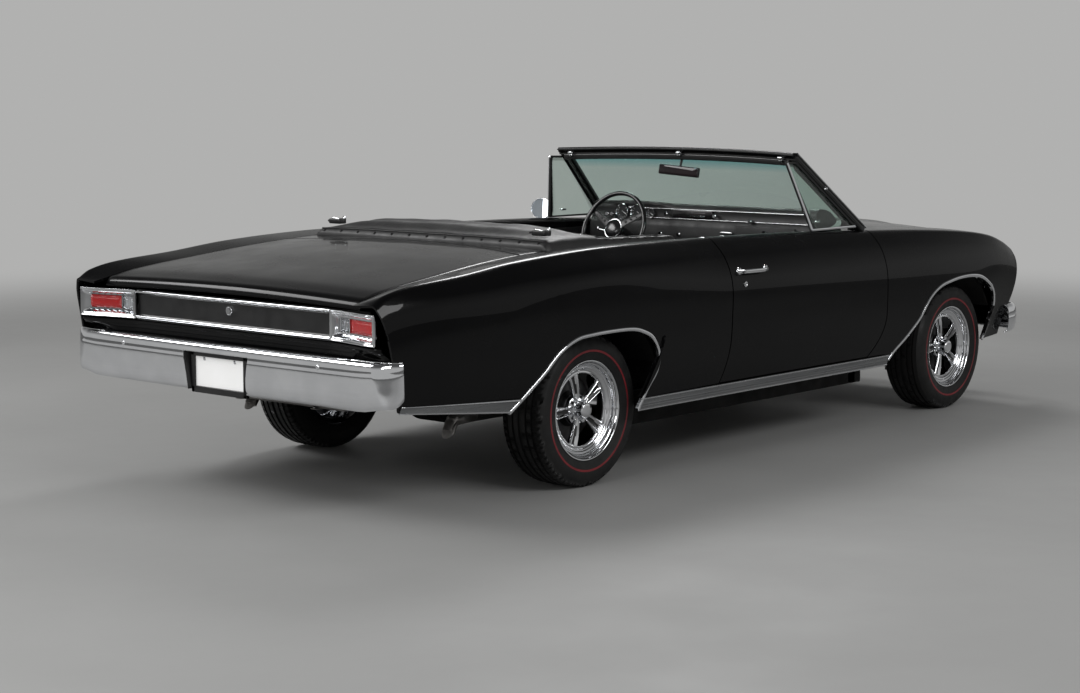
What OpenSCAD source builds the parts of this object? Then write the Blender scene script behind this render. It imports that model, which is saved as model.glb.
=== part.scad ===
// Open two-door muscle car on a perimeter frame: doors, hood, trunk lid, steering and wheels move.
// +X points forward, +Y to the car's left, +Z up; the origin is on the ground at mid-length.

/* [Overall] */
// Length over both bumpers
car_length = 5004; // [5000:1:5010]
// Distance from the origin forward to the front axle
front_axle_x = 1689; // [1684:1:1694]
// Distance between the axles
wheelbase = 2921; // [2916:1:2926]
// Distance between the wheel centre planes
track = 1472; // [1468:1:1476]
// Gap between a moving panel and its neighbours
panel_gap = 7; // [6:0.5:8]
// Thickness of the fender, quarter and hood pressings with their inner ribs
skin = 12; // [10:1:14]

/* [Wheels] */
// Loaded radius of the tyres, which is also the height of the hubs
tyre_r = 318; // [316:1:320]
// Width across the tyre's sidewalls
tyre_w = 220; // [216:1:224]
// Radius of the rim's flange
rim_r = 207; // [205:1:208]
// Width of the rim over its flanges
rim_w = 196; // [192:1:196]
// Radius of the wheel's centre bore
hub_bore_r = 35.5; // [34:0.5:36]
// Distance of the steering axis from the car's middle
kingpin_y = 650; // [645:1:655]

/* [Doors] */
// Lowest edge of the doors
door_bottom_z = 360; // [358:1:362]
// Distance of the doors' inner face from the car's middle
door_inner_y = 765; // [760:1:770]

/* [Cabin] */
// Top of the floor pan
floor_z = 304; // [300:1:308]
// Diameter of the steering wheel
steering_d = 400; // [390:1:410]
// Rake of the steering column above the level
column_rake = 22; // [20:1:24]
// Width of a front seat
seat_w = 500; // [490:1:505]

/* [Hidden] */
$fn = 64;

rear_axle_x = front_axle_x - wheelbase;
hub_z = tyre_r;
wheel_y = track / 2;
half_length = car_length / 2;

// Smooth curve through points [x, value]; a value is a number or a list of numbers
function span(p, x, i = 0) = i >= len(p) - 2 || x < p[i + 1][0] ? i : span(p, x, i + 1);
function rise(p, i) = let(a = max(i - 1, 0), b = min(i + 1, len(p) - 1))
    (p[b][1] - p[a][1]) / (p[b][0] - p[a][0]);
function curve(p, x) = let(
    i = span(p, x),
    h = p[i + 1][0] - p[i][0],
    t = min(max((x - p[i][0]) / h, 0), 1),
    u = 1 - t)
    (1 + 2 * t) * u * u * p[i][1] + t * u * u * h * rise(p, i)
    + (1 + 2 * u) * t * t * p[i + 1][1] - u * t * t * h * rise(p, i + 1);
function mix(a, b, t) = a + (b - a) * t;
function flip(list) = [for (i = [len(list) - 1:-1:0]) list[i]];
function mirrored(rings) = [for (r = flip(rings)) [for (p = r) [p.x, -p.y, p.z]]];

// Height of the crest along the top of fender, door and quarter
crest = [[-2490, 846], [-2430, 880], [-2300, 906], [-2003, 930], [-1700, 962], [-1250, 985],
    [-800, 986], [-200, 980], [336, 971], [900, 950], [1400, 931], [1800, 905], [2050, 875],
    [2200, 836], [2300, 792]];
function crest_z(x) = curve(crest, x);

// Half-width of the body side, at these fractions of the height from the sill to the crest
side_base_z = 300;
side_level = [0, 0.25, 0.5, 0.72, 0.88, 1];
side = [[-2490, [872, 892, 904, 903, 894, 868]], [-2150, [898, 919, 931, 933, 920, 878]],
    [-1700, [908, 934, 945, 948, 928, 868]], [-1250, [920, 938, 949, 951, 929, 845]],
    [-800, [918, 937, 948, 948, 915, 828]], [-400, [916, 934, 944, 941, 897, 818]],
    [300, [914, 931, 940, 934, 890, 815]], [900, [914, 930, 938, 931, 893, 826]],
    [1400, [912, 928, 935, 928, 896, 838]], [1800, [886, 905, 922, 918, 892, 846]],
    [2050, [852, 872, 897, 903, 884, 848]], [2330, [826, 846, 866, 872, 864, 842]]];
function side_y(x, z) = let(
    k = curve(side, x),
    f = (z - side_base_z) / (crest_z(x) - side_base_z))
    curve([for (i = [0:5]) [side_level[i], k[i]]], min(max(f, 0), 1));

// Solid through a list of closed rings; point i of a ring lies across the wall from point n-1-i.
// The faces are turned over where the rings run the other way round.
function total(list) = list * [for (v = list) 1];
function signed_volume(p, faces) = total([for (f = faces) cross(p[f[0]], p[f[1]]) * p[f[2]]]);
module loft(rings) {
    n = len(rings[0]);
    m = len(rings);
    half = n / 2;
    last = (m - 1) * n;
    points = [for (r = rings) each r];
    faces = [
        for (j = [0:m - 2], i = [0:n - 1]) let(a = j * n + i, b = j * n + (i + 1) % n)
            each [[a, b, a + n], [b, b + n, a + n]],
        for (i = [0:half - 2]) let(q = n - 1 - i)
            each [[i, q, i + 1], [q, q - 1, i + 1]],
        for (i = [0:half - 2]) let(q = n - 1 - i)
            each [[last + i, last + i + 1, last + q], [last + q, last + i + 1, last + q - 1]]];
    turned = signed_volume(points, faces) > 0;
    polyhedron(points, turned ? [for (f = faces) flip(f)] : faces, convexity = 6);
}
// The same solid on the car's left (side 1) or right (side -1)
module loft_on(rings, s) {
    if (s > 0) loft(rings);
    else loft(mirrored(rings));
}

// A column of a body panel runs from its low point [x, z] up to the crest at top_x.
// sweep pulls its foot along like the door gaps; nose bulges it forward near the front.
rows = [0, 0.12, 0.25, 0.38, 0.5, 0.62, 0.73, 0.83, 0.91, 0.97, 1];
function gap_shape(f) = 1 - pow(1 - min(f / 0.33, 1), 2);
function column_x(c, f) = mix(c[0], c[2], mix(f, gap_shape(f), c[3])) + c[4] * f * f * (1 - f);
function column_point(c, f) = let(
    x = column_x(c, f),
    z = mix(c[1], crest_z(c[2]), f))
    [x, side_y(x, z), z];
// The wall grows from a pressing to its full depth ahead of the rear wheel wells
function wall_at(x, deep) = mix(skin, deep, min(max((x + 815) / 35, 0), 1));
function thin_point(c, f, deep) = let(p = column_point(c, f), down = max(0, (f - 0.85) / 0.15))
    [p.x, p.y - wall_at(p.x, deep), p.z - skin * down];

// Deck and hood edges that the quarter and fender tops run in to
deck_edge = [[-2490, 838], [-2430, 850], [-2300, 878], [-2000, 914], [-1700, 946], [-1420, 966],
    [-1000, 978], [-375, 974]];
lid_half_w = [[-2490, 745], [-2300, 738], [-1540, 690], [-1300, 690], [-375, 694]];
hood_half_w = 694;
function deck_z(x, y) = curve(deck_edge, x) + 14 * (1 - pow(y / 700, 2));
function hood_z(x, y) = crest_z(x) + 8 + 34 * (1 - pow(y / hood_half_w, 2));

// Ring of a side panel: up the flank, over the crest to the deck, and back along the inside
top_rows = [0.3, 0.65, 1];
function top_point(c, v, edge_y, edge_z) = let(p = column_point(c, 1))
    [p.x, mix(p.y, edge_y, v), mix(p.z, edge_z, v) + 3 * v * (1 - v)];
function panel_ring(c, deep, edge_y, edge_z) = [
    for (f = rows) column_point(c, f),
    for (v = top_rows) top_point(c, v, edge_y, edge_z),
    for (v = flip(top_rows)) let(p = top_point(c, v, edge_y, edge_z))
        [p.x, mix(column_point(c, 1).y - wall_at(p.x, deep), edge_y, v), p.z - skin],
    for (f = flip(rows)) thin_point(c, f, deep)];

/* Frame and running gear */

module box(x0, x1, y0, y1, z0, z1) {
    translate([x0, y0, z0]) cube([x1 - x0, y1 - y0, z1 - z0]);
}
module both_sides() {
    children();
    mirror([0, 1, 0]) children();
}
// Round pipe through a list of points, with a slightly swollen joint at each bend
module pipe(points, r) {
    for (i = [0:len(points) - 2]) {
        d = points[i + 1] - points[i];
        translate(points[i])
            rotate([0, acos(d.z / norm(d)), atan2(d.y, d.x)])
                cylinder(h = norm(d), r = r, $fn = 32);
        if (i > 0) translate(points[i]) sphere(r = r * 1.06, $fn = 32);
    }
}
module axle_disc(y0, y1, r) {
    translate([0, y0, 0]) rotate([-90, 0, 0]) cylinder(h = y1 - y0, r = r);
}

module frame() {
    color("#1c1c1e") {
        both_sides() {
            box(-880, 1010, 620, 700, 190, 288);
            box(940, 1060, 330, 700, 190, 288);
            box(1000, 1090, 330, 400, 190, 380);
            box(1060, 2330, 330, 400, 290, 380);
            box(-900, -840, 430, 700, 190, 288);
            box(-960, -893, 430, 500, 190, 470);
            box(-2380, -930, 430, 500, 390, 470);
        }
        box(1640, 1740, -400, 400, 210, 292);
        box(2230, 2300, -330, 330, 300, 370);
        box(430, 510, -620, 620, 196, 246);
        box(-900, -840, -430, 430, 196, 270);
        box(-1720, -1650, -430, 430, 400, 460);
        box(-2380, -2330, -430, 430, 400, 460);
    }
}

module floor_pan() {
    color("#2a2a2c") {
        difference() {
            union() {
                box(-880, 985, -760, 760, floor_z - 12, floor_z);
                box(-880, 985, -150, 150, floor_z - 12, 440);
            }
            box(-900, 1000, -138, 138, floor_z - 20, 428);
        }
        difference() {
            box(-892, -880, -585, 585, floor_z - 12, 490);
            box(-900, -870, -60, 60, floor_z - 20, 380);
        }
        box(-2349, -892, -585, 585, 478, 490);
        both_sides() box(-900, 950, 760, 900, floor_z - 2, 350);
    }
}

module well(x, y0, y1, wall_y, low_z) {
    difference() {
        translate([x, 0, hub_z]) {
            difference() {
                axle_disc(y0, y1, 410);
                axle_disc(y0 - 1, y1 + 1, 400);
            }
            axle_disc(wall_y, wall_y + 10, 410);
        }
        box(x - 420, x + 420, y0 - 2, y1 + 2, -200, low_z);
    }
}
module wheel_wells() {
    color("#18181a") {
        both_sides() {
            well(front_axle_x, 450, 850, 450, 505);
            well(rear_axle_x, 590, 905, 590, 492);
        }
    }
}

module cowl() {
    color("#101012") {
        difference() {
            box(986, 998, -694, 694, floor_z - 12, 925);
            box(980, 1004, -138, 138, floor_z - 20, 430);
        }
        both_sides() {
            box(924, 998, 694, 890, 352, 830);
            box(924, 998, 694, 790, 830, 920);
        }
        loft([for (i = [0:10]) let(y = mix(-692, 692, i / 10), back = cowl_back_x(y))
            [[back, y, hood_z(1080, y) - 12], [mix(back, 1071, 0.5), y, hood_z(1080, y) - 8],
            [1071, y, hood_z(1080, y) - 4], [1071, y, hood_z(1080, y) - 18],
            [mix(back, 1071, 0.5), y, hood_z(1080, y) - 22], [back, y, hood_z(1080, y) - 26]]]);
    }
}
function cowl_back_x(y) = pillar_x(0) + bow(0, y) + 11;

module engine() {
    color("#33363a") {
        box(1150, 1830, -250, 250, 400, 860);
        box(1150, 1620, -160, 160, 300, 400);
        box(520, 1150, -120, 120, 260, 415);
    }
}

module rear_axle() {
    color("#26282b") {
        translate([rear_axle_x, 0, hub_z]) {
            axle_disc(-640, 640, 38);
            axle_disc(-90, 90, 130);
            both_sides() {
                axle_disc(640, 705, 118);
                axle_disc(705, wheel_y - 0.5, 75);
                axle_disc(wheel_y - 0.5, wheel_y + 16, hub_bore_r - 0.05);
            }
        }
        pipe([[rear_axle_x + 110, 0, hub_z + 6], [517, 0, 334]], 38);
    }
}

module suspension() {
    color("#2e3033") {
        both_sides() {
            // Front control arms, springs and ball joints
            box(front_axle_x - 110, front_axle_x + 110, 400, 500, 205, 225);
            box(front_axle_x - 40, front_axle_x + 40, 500, kingpin_y + 20, 172, 195);
            box(front_axle_x - 40, front_axle_x + 40, 480, 500, 172, 225);
            box(front_axle_x - 90, front_axle_x + 90, 400, 500, 440, 458);
            box(front_axle_x - 35, front_axle_x + 35, 480, kingpin_y + 15, 458, 472);
            translate([front_axle_x, 452, 225]) cylinder(h = 215, r = 45);
            // Rear links and coil springs
            translate([rear_axle_x + 60, 545, 0]) box(0, 271, -25, 25, 230, 262);
            translate([rear_axle_x, 542, hub_z + 38]) cylinder(h = 122, r = 34);
        }
    }
}

module exhaust() {
    color("#8c8f93") {
        both_sides() {
            pipe([[1240, 300, 290], [1120, 300, 160], [-940, 300, 160]], 28);
            translate([-230, 300, 160]) rotate([0, -90, 0]) cylinder(h = 520, r = 68);
            pipe([[-939, 300, 160], [-985, 360, 180], [-1020, 390, 372], [-1400, 390, 420],
                [-1560, 390, 340], [-1640, 560, 318], [-1770, 582, 316], [-1800, 585, 270]], 26);
        }
    }
}

module fuel_tank() {
    color("#3a3c3f") box(-2290, -1780, -400, 400, 345, 440);
}

/* Body panels */

fender_columns = [[766, 358, 912, 1, 0], [830, 358, 940, 0.8, 0], [900, 357, 970, 0.4, 0],
    [985, 354, 1010, 0.1, 0], [1030, 376, 1060, 0, 0], [1089, 412, 1115, 0, 0],
    [1160, 460, 1175, 0, 0], [1226, 509, 1238, 0, 0], [1275, 558, 1290, 0, 0],
    [1330, 608, 1345, 0, 0], [1413, 649, 1420, 0, 0], [1511, 669, 1511, 0, 0],
    [1610, 680, 1600, 0, 0], [1700, 683, 1690, 0, 0], [1790, 678, 1780, 0, 0],
    [1870, 662, 1860, 0, 0], [1940, 632, 1940, 0, 0], [1998, 594, 2010, 0, 0],
    [2034, 545, 2060, 0, 30], [2038, 490, 2100, 0, 80], [2018, 435, 2135, 0, 150],
    [1985, 384, 2165, 0, 220], [1958, 342, 2190, 0, 280], [2030, 340, 2220, 0, 340],
    [2100, 342, 2252, 0, 400], [2165, 346, 2284, 0, 440]];
function fender_ring(c) = let(x = c[2]) panel_ring(c, skin, hood_half_w + 6, crest_z(x) + 8);
module fender(s) {
    color("#060607") loft_on([for (c = fender_columns) fender_ring(c)], s);
}
module fender_left() { fender(1); }
module fender_right() { fender(-1); }

quarter_columns = [[-2400, 446, -2492, 0, 60], [-2330, 452, -2440, 0, 0],
    [-2200, 452, -2320, 0, 0], [-2060, 448, -2180, 0, 0], [-1920, 444, -2040, 0, 0],
    [-1800, 438, -1930, 0, 0], [-1739, 431, -1860, 0, 0], [-1700, 444, -1800, 0, 0],
    [-1650, 476, -1730, 0, 0], [-1610, 514, -1670, 0, 0], [-1568, 566, -1610, 0, 0],
    [-1520, 606, -1550, 0, 0], [-1438, 634, -1460, 0, 0], [-1330, 644, -1350, 0, 0],
    [-1217, 648, -1230, 0, 0], [-1100, 645, -1110, 0, 0], [-1020, 631, -1010, 0, 0],
    [-952, 600, -920, 0, 0], [-916, 566, -860, 0, 0], [-898, 524, -805, 0, 0],
    [-905, 478, -755, 0, 0], [-938, 428, -710, 0, 0], [-978, 378, -660, 0, 0],
    [-1000, 353, -610, 0, 0], [-900, 354, -560, 0, 0], [-740, 356, -500, 0.2, 0],
    [-590, 357, -440, 0.6, 0], [-447, 358, -382, 1, 0]];
quarter_wall = 112;
function quarter_ring(c) = let(x = c[2], y = curve(lid_half_w, x) + panel_gap - 1)
    panel_ring(c, quarter_wall, y, curve(deck_edge, x));
module quarter(s) {
    color("#060607") loft_on([for (c = quarter_columns) quarter_ring(c)], s);
}
module quarter_left() { quarter(1); }
module quarter_right() { quarter(-1); }

// A door is solid from its skin to its inner face
door_columns = [[-440, -375], [-300, -240], [-150, -100], [0, 40], [150, 180], [300, 320],
    [430, 460], [550, 600], [650, 740], [700, 830], [759, 905]];
function door_ring(i) = let(
    d = door_columns[i],
    c = [d[0], door_bottom_z, d[1], abs(i / 5 - 1), 0],
    inset = 16 * max(0, 1 - i))
    [for (f = rows) column_point(c, f),
    for (f = flip(rows)) let(p = column_point(c, f)) [p.x + inset, door_inner_y, p.z - 5 * f]];
module door(s) {
    color("#060607") loft_on([for (i = [0:len(door_columns) - 1]) door_ring(i)], s);
}
module door_left() { door(1); }
module door_right() { door(-1); }

// Hood and trunk lid are lofted across the car, each ring running front to back
hood_back_x = 1080;
function hood_front_x(y) = 2338 - 44 * pow(y / hood_half_w, 2);
function hood_line(y, drop) = [for (i = [0:9]) let(
    x = mix(hood_back_x, hood_front_x(y), i / 9),
    lip = i == 9 ? 16 : i == 8 ? 3 : 0)
    [x, y, hood_z(x, y) - lip - drop]];
module hood() {
    color("#060607") loft([for (i = [12:-1:0]) let(y = mix(-hood_half_w, hood_half_w, i / 12))
        concat(hood_line(y, 0), flip(hood_line(y, 20)))]);
}

function lid_front_x(y) = -1385 - 110 * pow(y / 690, 2);
lid_back_x = -2402;
lid_lip = [[-26, -16], [-38, -36]];
function lid_line(y, drop) = [
    for (i = [0:8]) let(x = mix(lid_front_x(y), lid_back_x, i / 8)) [x, y, deck_z(x, y) - drop],
    for (p = lid_lip) [lid_back_x + p[0] + drop, y, deck_z(lid_back_x, y) + p[1] - drop / 3]];
module trunk_lid() {
    color("#060607") loft([for (i = [0:12]) let(
        t = mix(-1, 1, i / 12),
        outer = [for (p = lid_line(t * 690, 0)) [p.x, t * curve(lid_half_w, p.x), p.z]],
        inner = [for (p = lid_line(t * 690, 18)) [p.x, t * curve(lid_half_w, p.x), p.z]])
        concat(outer, flip(inner))]);
}

module deck_panel() {
    color("#060607") loft([for (i = [0:10]) let(
        y = mix(-686, 686, i / 10),
        front = -1322,
        back = lid_front_x(y) + panel_gap)
        [[front, y, deck_z(front, y)], [mix(front, back, 0.5), y, deck_z(front, y)],
        [back, y, deck_z(back, y)], [back, y, deck_z(back, y) - skin],
        [mix(front, back, 0.5), y, deck_z(front, y) - skin], [front, y, deck_z(front, y) - skin]]]);
}

// Soft cover over the folded roof, with arms forward beside the rear seat
function boot_top(y, u) = 1006 + 46 * (1 - pow(abs(y) / 690, 4)) * sin(180 * pow(u, 0.8));
module boot_cover() {
    color("#141416") {
        loft([for (i = [0:12]) let(y = mix(-684, 684, i / 12))
            concat([for (u = [0, 0.1, 0.3, 0.5, 0.7, 0.9, 1])
                [mix(-945, -1314, u), y, boot_top(y, u) - (u == 0 || u == 1 ? 16 : 0)]],
            [for (u = [1, 0.9, 0.7, 0.5, 0.3, 0.1, 0]) [mix(-945, -1314, u), y, 900]])]);
        both_sides() box(-946, -420, 612, 684, 900, 1000);
    }
}

module tail_panel() {
    color("#060607") {
        box(-2414, -2362, -568, 568, 640, 806);
        box(-2362, -2350, -720, 720, 478, 806);
    }
}

module tail_lamps() {
    color("#a01018") both_sides()
        loft([for (y = [573, 640, 720, 800, 852]) let(x = curve([[573, -2424], [720, -2452],
            [800, -2472], [852, -2480]], y))
            [[x, y, 684], [x - 4, y, 720], [x - 4, y, 772], [x, y, 808],
            [x + 52, y, 808], [x + 48, y, 772], [x + 48, y, 720], [x + 52, y, 684]]]);
}

// Bumper rings run up the face and back down inside. A face point is [depth from the front, z];
// around the ends the depth turns inward and the top edge stands straighter.
bumper_wall = 14;
function rear_face_x(y) = curve([[0, 0], [400, 2], [700, 10], [830, 20], [890, 32], [925, 54],
    [940, 96]], abs(y));
rear_face = [[22, 446], [3, 470], [0, 530], [3, 594], [3, 600], [20, 636]];
function recess(y) = 44 * min(max((200 - abs(y)) / 22, 0), 1);
function rear_end(y) = min(max((abs(y) - 830) / 60, 0), 1);
function rear_point(y, d, z) = let(a = 50 * rear_end(y))
    [-half_length + rear_face_x(y) + d * cos(a), y - sign(y) * d * sin(a), z];
function rear_depth(p, y) = p[0] + (p[1] < 597 ? recess(y) : 0) - (p[1] > 610 ? 16 * rear_end(y) : 0);
function rear_bumper_ring(y) = concat(
    [for (p = rear_face) rear_point(y, rear_depth(p, y), p[1])],
    [for (p = flip(rear_face)) rear_point(y, rear_depth(p, y) + bumper_wall, p[1])]);
rear_bumper_y = [-940, -925, -890, -830, -700, -450, -200, -178, 0, 178, 200, 450, 700, 830, 890,
    925, 940];
module rear_bumper() {
    color("#c8ccd0") {
        loft([for (y = rear_bumper_y) rear_bumper_ring(y)]);
        // Brackets to the frame rails
        both_sides() box(-2492, -2380, 436, 476, 400, 470);
    }
}

module plate() {
    color("#e8e8e6") difference() {
        box(-2462, -2459, -152, 152, 450, 590);
        for (y = [-89, 89]) translate([-2470, y, 570]) rotate([0, 90, 0]) cylinder(h = 20, r = 3.5);
    }
}

function front_face_x(y) = curve([[0, 0], [400, 12], [650, 42], [790, 88], [850, 140], [885, 220],
    [896, 300]], abs(y));
front_face = [[24, 350], [3, 376], [0, 424], [3, 470], [26, 500]];
front_bumper_y = [896, 885, 850, 790, 650, 400, 0, -400, -650, -790, -850, -885, -896];
module front_bumper() {
    color("#c8ccd0") {
        loft([for (y = front_bumper_y) let(
            x = half_length - front_face_x(y),
            face = [for (p = front_face) [x - p[0], y, p[1]]])
            concat(face, [for (p = flip(face)) [p.x - bumper_wall, y, p.z]])]);
        both_sides() box(2330, 2484, 340, 390, 370, 420);
    }
}

module grille() {
    color("#303234") {
        box(2262, 2284, -560, 560, 520, 768);
        both_sides() {
            difference() {
                box(2262, 2290, 560, 838, 560, 768);
                for (y = [644, 770]) translate([2240, y, 680]) rotate([0, 90, 0])
                    cylinder(h = 60, r = 62);
            }
        }
        box(2200, 2262, -300, 300, 382, 760);
    }
}

module headlamps() {
    color("#dfe6ea") both_sides()
        for (y = [644, 770]) translate([2262, y, 680]) rotate([0, 90, 0]) {
            cylinder(h = 20, r = 60);
            translate([0, 0, -50]) cylinder(h = 50, r1 = 30, r2 = 60);
        }
}

module sill_mouldings() {
    color("#c9cdd2") both_sides() {
        loft([for (x = [-985, -700, -300, 100, 500, 962])
            [[x, 901, 300], [x, side_y(x, 310) + 4, 300], [x, side_y(x, 345) + 2, 350],
            [x, 901, 350]]]);
        loft([for (t = [0:4]) let(
            x = mix(-2400, -1760, t / 4),
            low = mix(441, 384, t / 4),
            high = mix(469, 431, t / 4))
            [[x, side_y(x, low) + 2, low], [x, side_y(x, low) + 6, low],
            [x, side_y(x, high) + 6, high], [x, side_y(x, high) + 2, high]]]);
    }
}

/* Windshield and door glass */

// Centre line of the windshield pillars at fraction h of their height
pillar_foot = [876, 797, 960];
pillar_head = [431, 700, 1316];
function pillar_x(h) = mix(pillar_foot.x, pillar_head.x, h);
function pillar_y(h) = mix(pillar_foot.y, pillar_head.y, h);
function pillar_z(h) = mix(pillar_foot.z, pillar_head.z, h);
function bow(h, y) = mix(125, 70, h) * (1 - pow(y / pillar_y(h), 2));

function bar_ring(p, dx, dz) = [[p.x - dx, p.y, p.z - dz], [p.x + dx, p.y, p.z - dz],
    [p.x + dx, p.y, p.z + dz], [p.x - dx, p.y, p.z + dz]];
module windshield_frame() {
    color("#c0c4c8") {
        // Header rail
        loft([for (i = [0:12]) let(y = mix(-718, 718, i / 12))
            bar_ring([pillar_x(1) + bow(1, min(abs(y), 700)), y, 1318 + 14 * (1 - pow(y / 718, 2))],
                24, 15)]);
        // Rail along the cowl
        loft([for (i = [0:12]) let(y = mix(-790, 790, i / 12))
            bar_ring([pillar_x(0) + bow(0, y), y, 968 + 14 * (1 - pow(y / 790, 2))], 10, 10)]);
        both_sides()
            loft([for (h = [0, 0.25, 0.5, 0.75, 1]) let(x = pillar_x(h), y = pillar_y(h),
                z = pillar_z(h))
                [[x - 17, y + 16, z], [x - 17, y - 16, z], [x + 17, y - 16, z],
                [x + 17, y + 16, z]]]);
    }
}

module windshield() {
    color("#7fb0a8") loft([for (i = [0:14]) let(
        t = mix(1, -1, i / 14),
        face = [for (h = [0.04, 0.35, 0.65, 0.93]) let(y = t * (pillar_y(h) - 26))
            [pillar_x(h) + bow(h, y) + 2, y, pillar_z(h) + 16 * (1 - t * t)]])
        concat(face, [for (p = flip(face)) [p.x - 6, p.y, p.z]])]);
}

// Corners of the vent window: two along the pillar, two on its back post
function vent_ring(half) = [for (p = [[pillar_x(0.03) - 36, pillar_y(0.03), 974],
    [pillar_x(0.9) - 36, pillar_y(0.9), 1284], [352, 716, 1286], [442, 800, 974]])
    [p.x, p.y + half, p.z]];
module vent_window(s) {
    color("#9fc4bc") loft_on([vent_ring(5), vent_ring(-5)], s);
}
module vent_window_left() { vent_window(1); }
module vent_window_right() { vent_window(-1); }

module door_mirror() {
    color("#c8ccd0") {
        translate([452, 868, 1013]) rotate([0, 90, 0]) {
            cylinder(h = 14, r = 55);
            translate([0, 0, 14]) cylinder(h = 26, r1 = 52, r2 = 16);
        }
        pipe([[478, 868, 1005], [500, 853, 944]], 9);
    }
}

/* Cabin */

steering_hub = [437, 375, 930];
module on_column(d0, d1) {
    translate(steering_hub) rotate([0, 90 + column_rake, 0]) translate([0, 0, d0])
        cylinder(h = d1 - d0, r = 28);
}
dash_section = [[628, 835], [612, 900], [622, 975], [650, 1008], [760, 998], [868, 945],
    [868, 915], [740, 835]];
module dashboard() {
    color("#0c0c0d") {
        loft([for (y = [680, 340, 0, -340, -680]) [for (p = dash_section) [p[0], y, p[1]]]]);
        on_column(31, 580);
    }
}

module steering_wheel() {
    color("#0a0a0b") translate(steering_hub) rotate([0, 90 + column_rake, 0]) {
        rotate_extrude() translate([steering_d / 2 - 12, 0]) circle(r = 11);
        for (a = [0:120:240]) rotate([0, 0, a]) translate([20, -14, -4])
            cube([steering_d / 2 - 36, 28, 6]);
        cylinder(h = 30, r = 34);
        translate([0, 0, -14]) cylinder(h = 14, r = 46);
    }
}

// Cushion and leaning back of a seat on its base, drawn as a side profile; depth is the cushion's
function lean_point(x, z, a) = [x * cos(a) - z * sin(a), 480 + x * sin(a) + z * cos(a)];
module seat(half_w, depth, back_h, lean) {
    rotate([90, 0, 0]) linear_extrude(height = 2 * half_w, center = true)
        polygon([[0, 405], [depth, 400], [depth, 525], [-45 * tan(lean), 525],
            lean_point(0, back_h, lean), lean_point(-115, back_h, lean),
            lean_point(-115, -60, lean)]);
    box(30, depth - 60, 40 - half_w, half_w - 40, floor_z, 404);
}
module front_seats() {
    color("#101011") both_sides() translate([-95, 405, 0]) seat(seat_w / 2, 470, 525, 14);
}
module rear_seat() {
    color("#101011") difference() {
        translate([-725, 0, 0]) seat(585, 375, 470, 12);
        box(-900, -300, -152, 152, floor_z - 10, 442);
    }
}

/* Steering knuckles and wheels */

module knuckle(s) {
    color("#2e3033") translate([front_axle_x, 0, hub_z]) rotate([0, 0, s < 0 ? 180 : 0]) {
        translate([-22, kingpin_y - 26, -118]) cube([44, 36, 253]);
        axle_disc(655, 705, 118);
        axle_disc(705, wheel_y - 0.5, 75);
        axle_disc(wheel_y - 0.5, wheel_y + 16, hub_bore_r - 0.05);
    }
}
module knuckle_left() { knuckle(1); }
module knuckle_right() { knuckle(-1); }

module place_wheel(x, s) {
    translate([x, s * wheel_y, hub_z]) rotate([-90 * s, 0, 0]) children();
}
module wheel(x, s) {
    rim_half = rim_w / 2;
    color("#d4d8dc") place_wheel(x, s) {
        rotate_extrude() polygon([[184, -rim_half], [rim_r, -rim_half], [rim_r, 6 - rim_half],
            [194, 6 - rim_half], [194, rim_half - 6], [rim_r, rim_half - 6], [rim_r, rim_half],
            [198, rim_half], [180, 68], [150, 60], [150, 48], [184, 40]]);
        difference() {
            union() {
                cylinder(h = 50, r = 66);
                for (a = [0:72:288]) rotate([0, 0, a]) translate([56, -20, 34])
                    cube([97, 40, 22]);
            }
            translate([0, 0, -1]) cylinder(h = 52, r = hub_bore_r);
        }
    }
}
tyre_profile = [[196, 90], [208.5, 90], [208.5, 97], [225, 104], [262, 110], [292, 106],
    [310, 94], [318, 74]];
module tyre(x, s) {
    half = [for (p = tyre_profile) [p[0] * (p[0] > 300 ? tyre_r / 318 : 1), p[1] * tyre_w / 220]];
    color("#161618") place_wheel(x, s) rotate_extrude()
        polygon(concat([for (p = half) [p[0], -p[1]]], flip(half)));
}
module wheel_front_left() { wheel(front_axle_x, 1); }
module wheel_front_right() { wheel(front_axle_x, -1); }
module wheel_rear_left() { wheel(rear_axle_x, 1); }
module wheel_rear_right() { wheel(rear_axle_x, -1); }
module tyre_front_left() { tyre(front_axle_x, 1); }
module tyre_front_right() { tyre(front_axle_x, -1); }
module tyre_rear_left() { tyre(rear_axle_x, 1); }
module tyre_rear_right() { tyre(rear_axle_x, -1); }

frame();
floor_pan();
wheel_wells();
cowl();
engine();
rear_axle();
suspension();
exhaust();
fuel_tank();
grille();
headlamps();
front_bumper();
rear_bumper();
fender_left();
fender_right();
quarter_left();
quarter_right();
sill_mouldings();
tail_panel();
tail_lamps();
plate();
deck_panel();
boot_cover();
windshield_frame();
windshield();
dashboard();
front_seats();
rear_seat();
door_left();
door_right();
vent_window_left();
vent_window_right();
door_mirror();
hood();
trunk_lid();
knuckle_left();
knuckle_right();
steering_wheel();
wheel_front_left();
wheel_front_right();
wheel_rear_left();
wheel_rear_right();
tyre_front_left();
tyre_front_right();
tyre_rear_left();
tyre_rear_right();
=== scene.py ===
import bpy
import bmesh
import math
import random
from mathutils import Matrix, Vector


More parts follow.
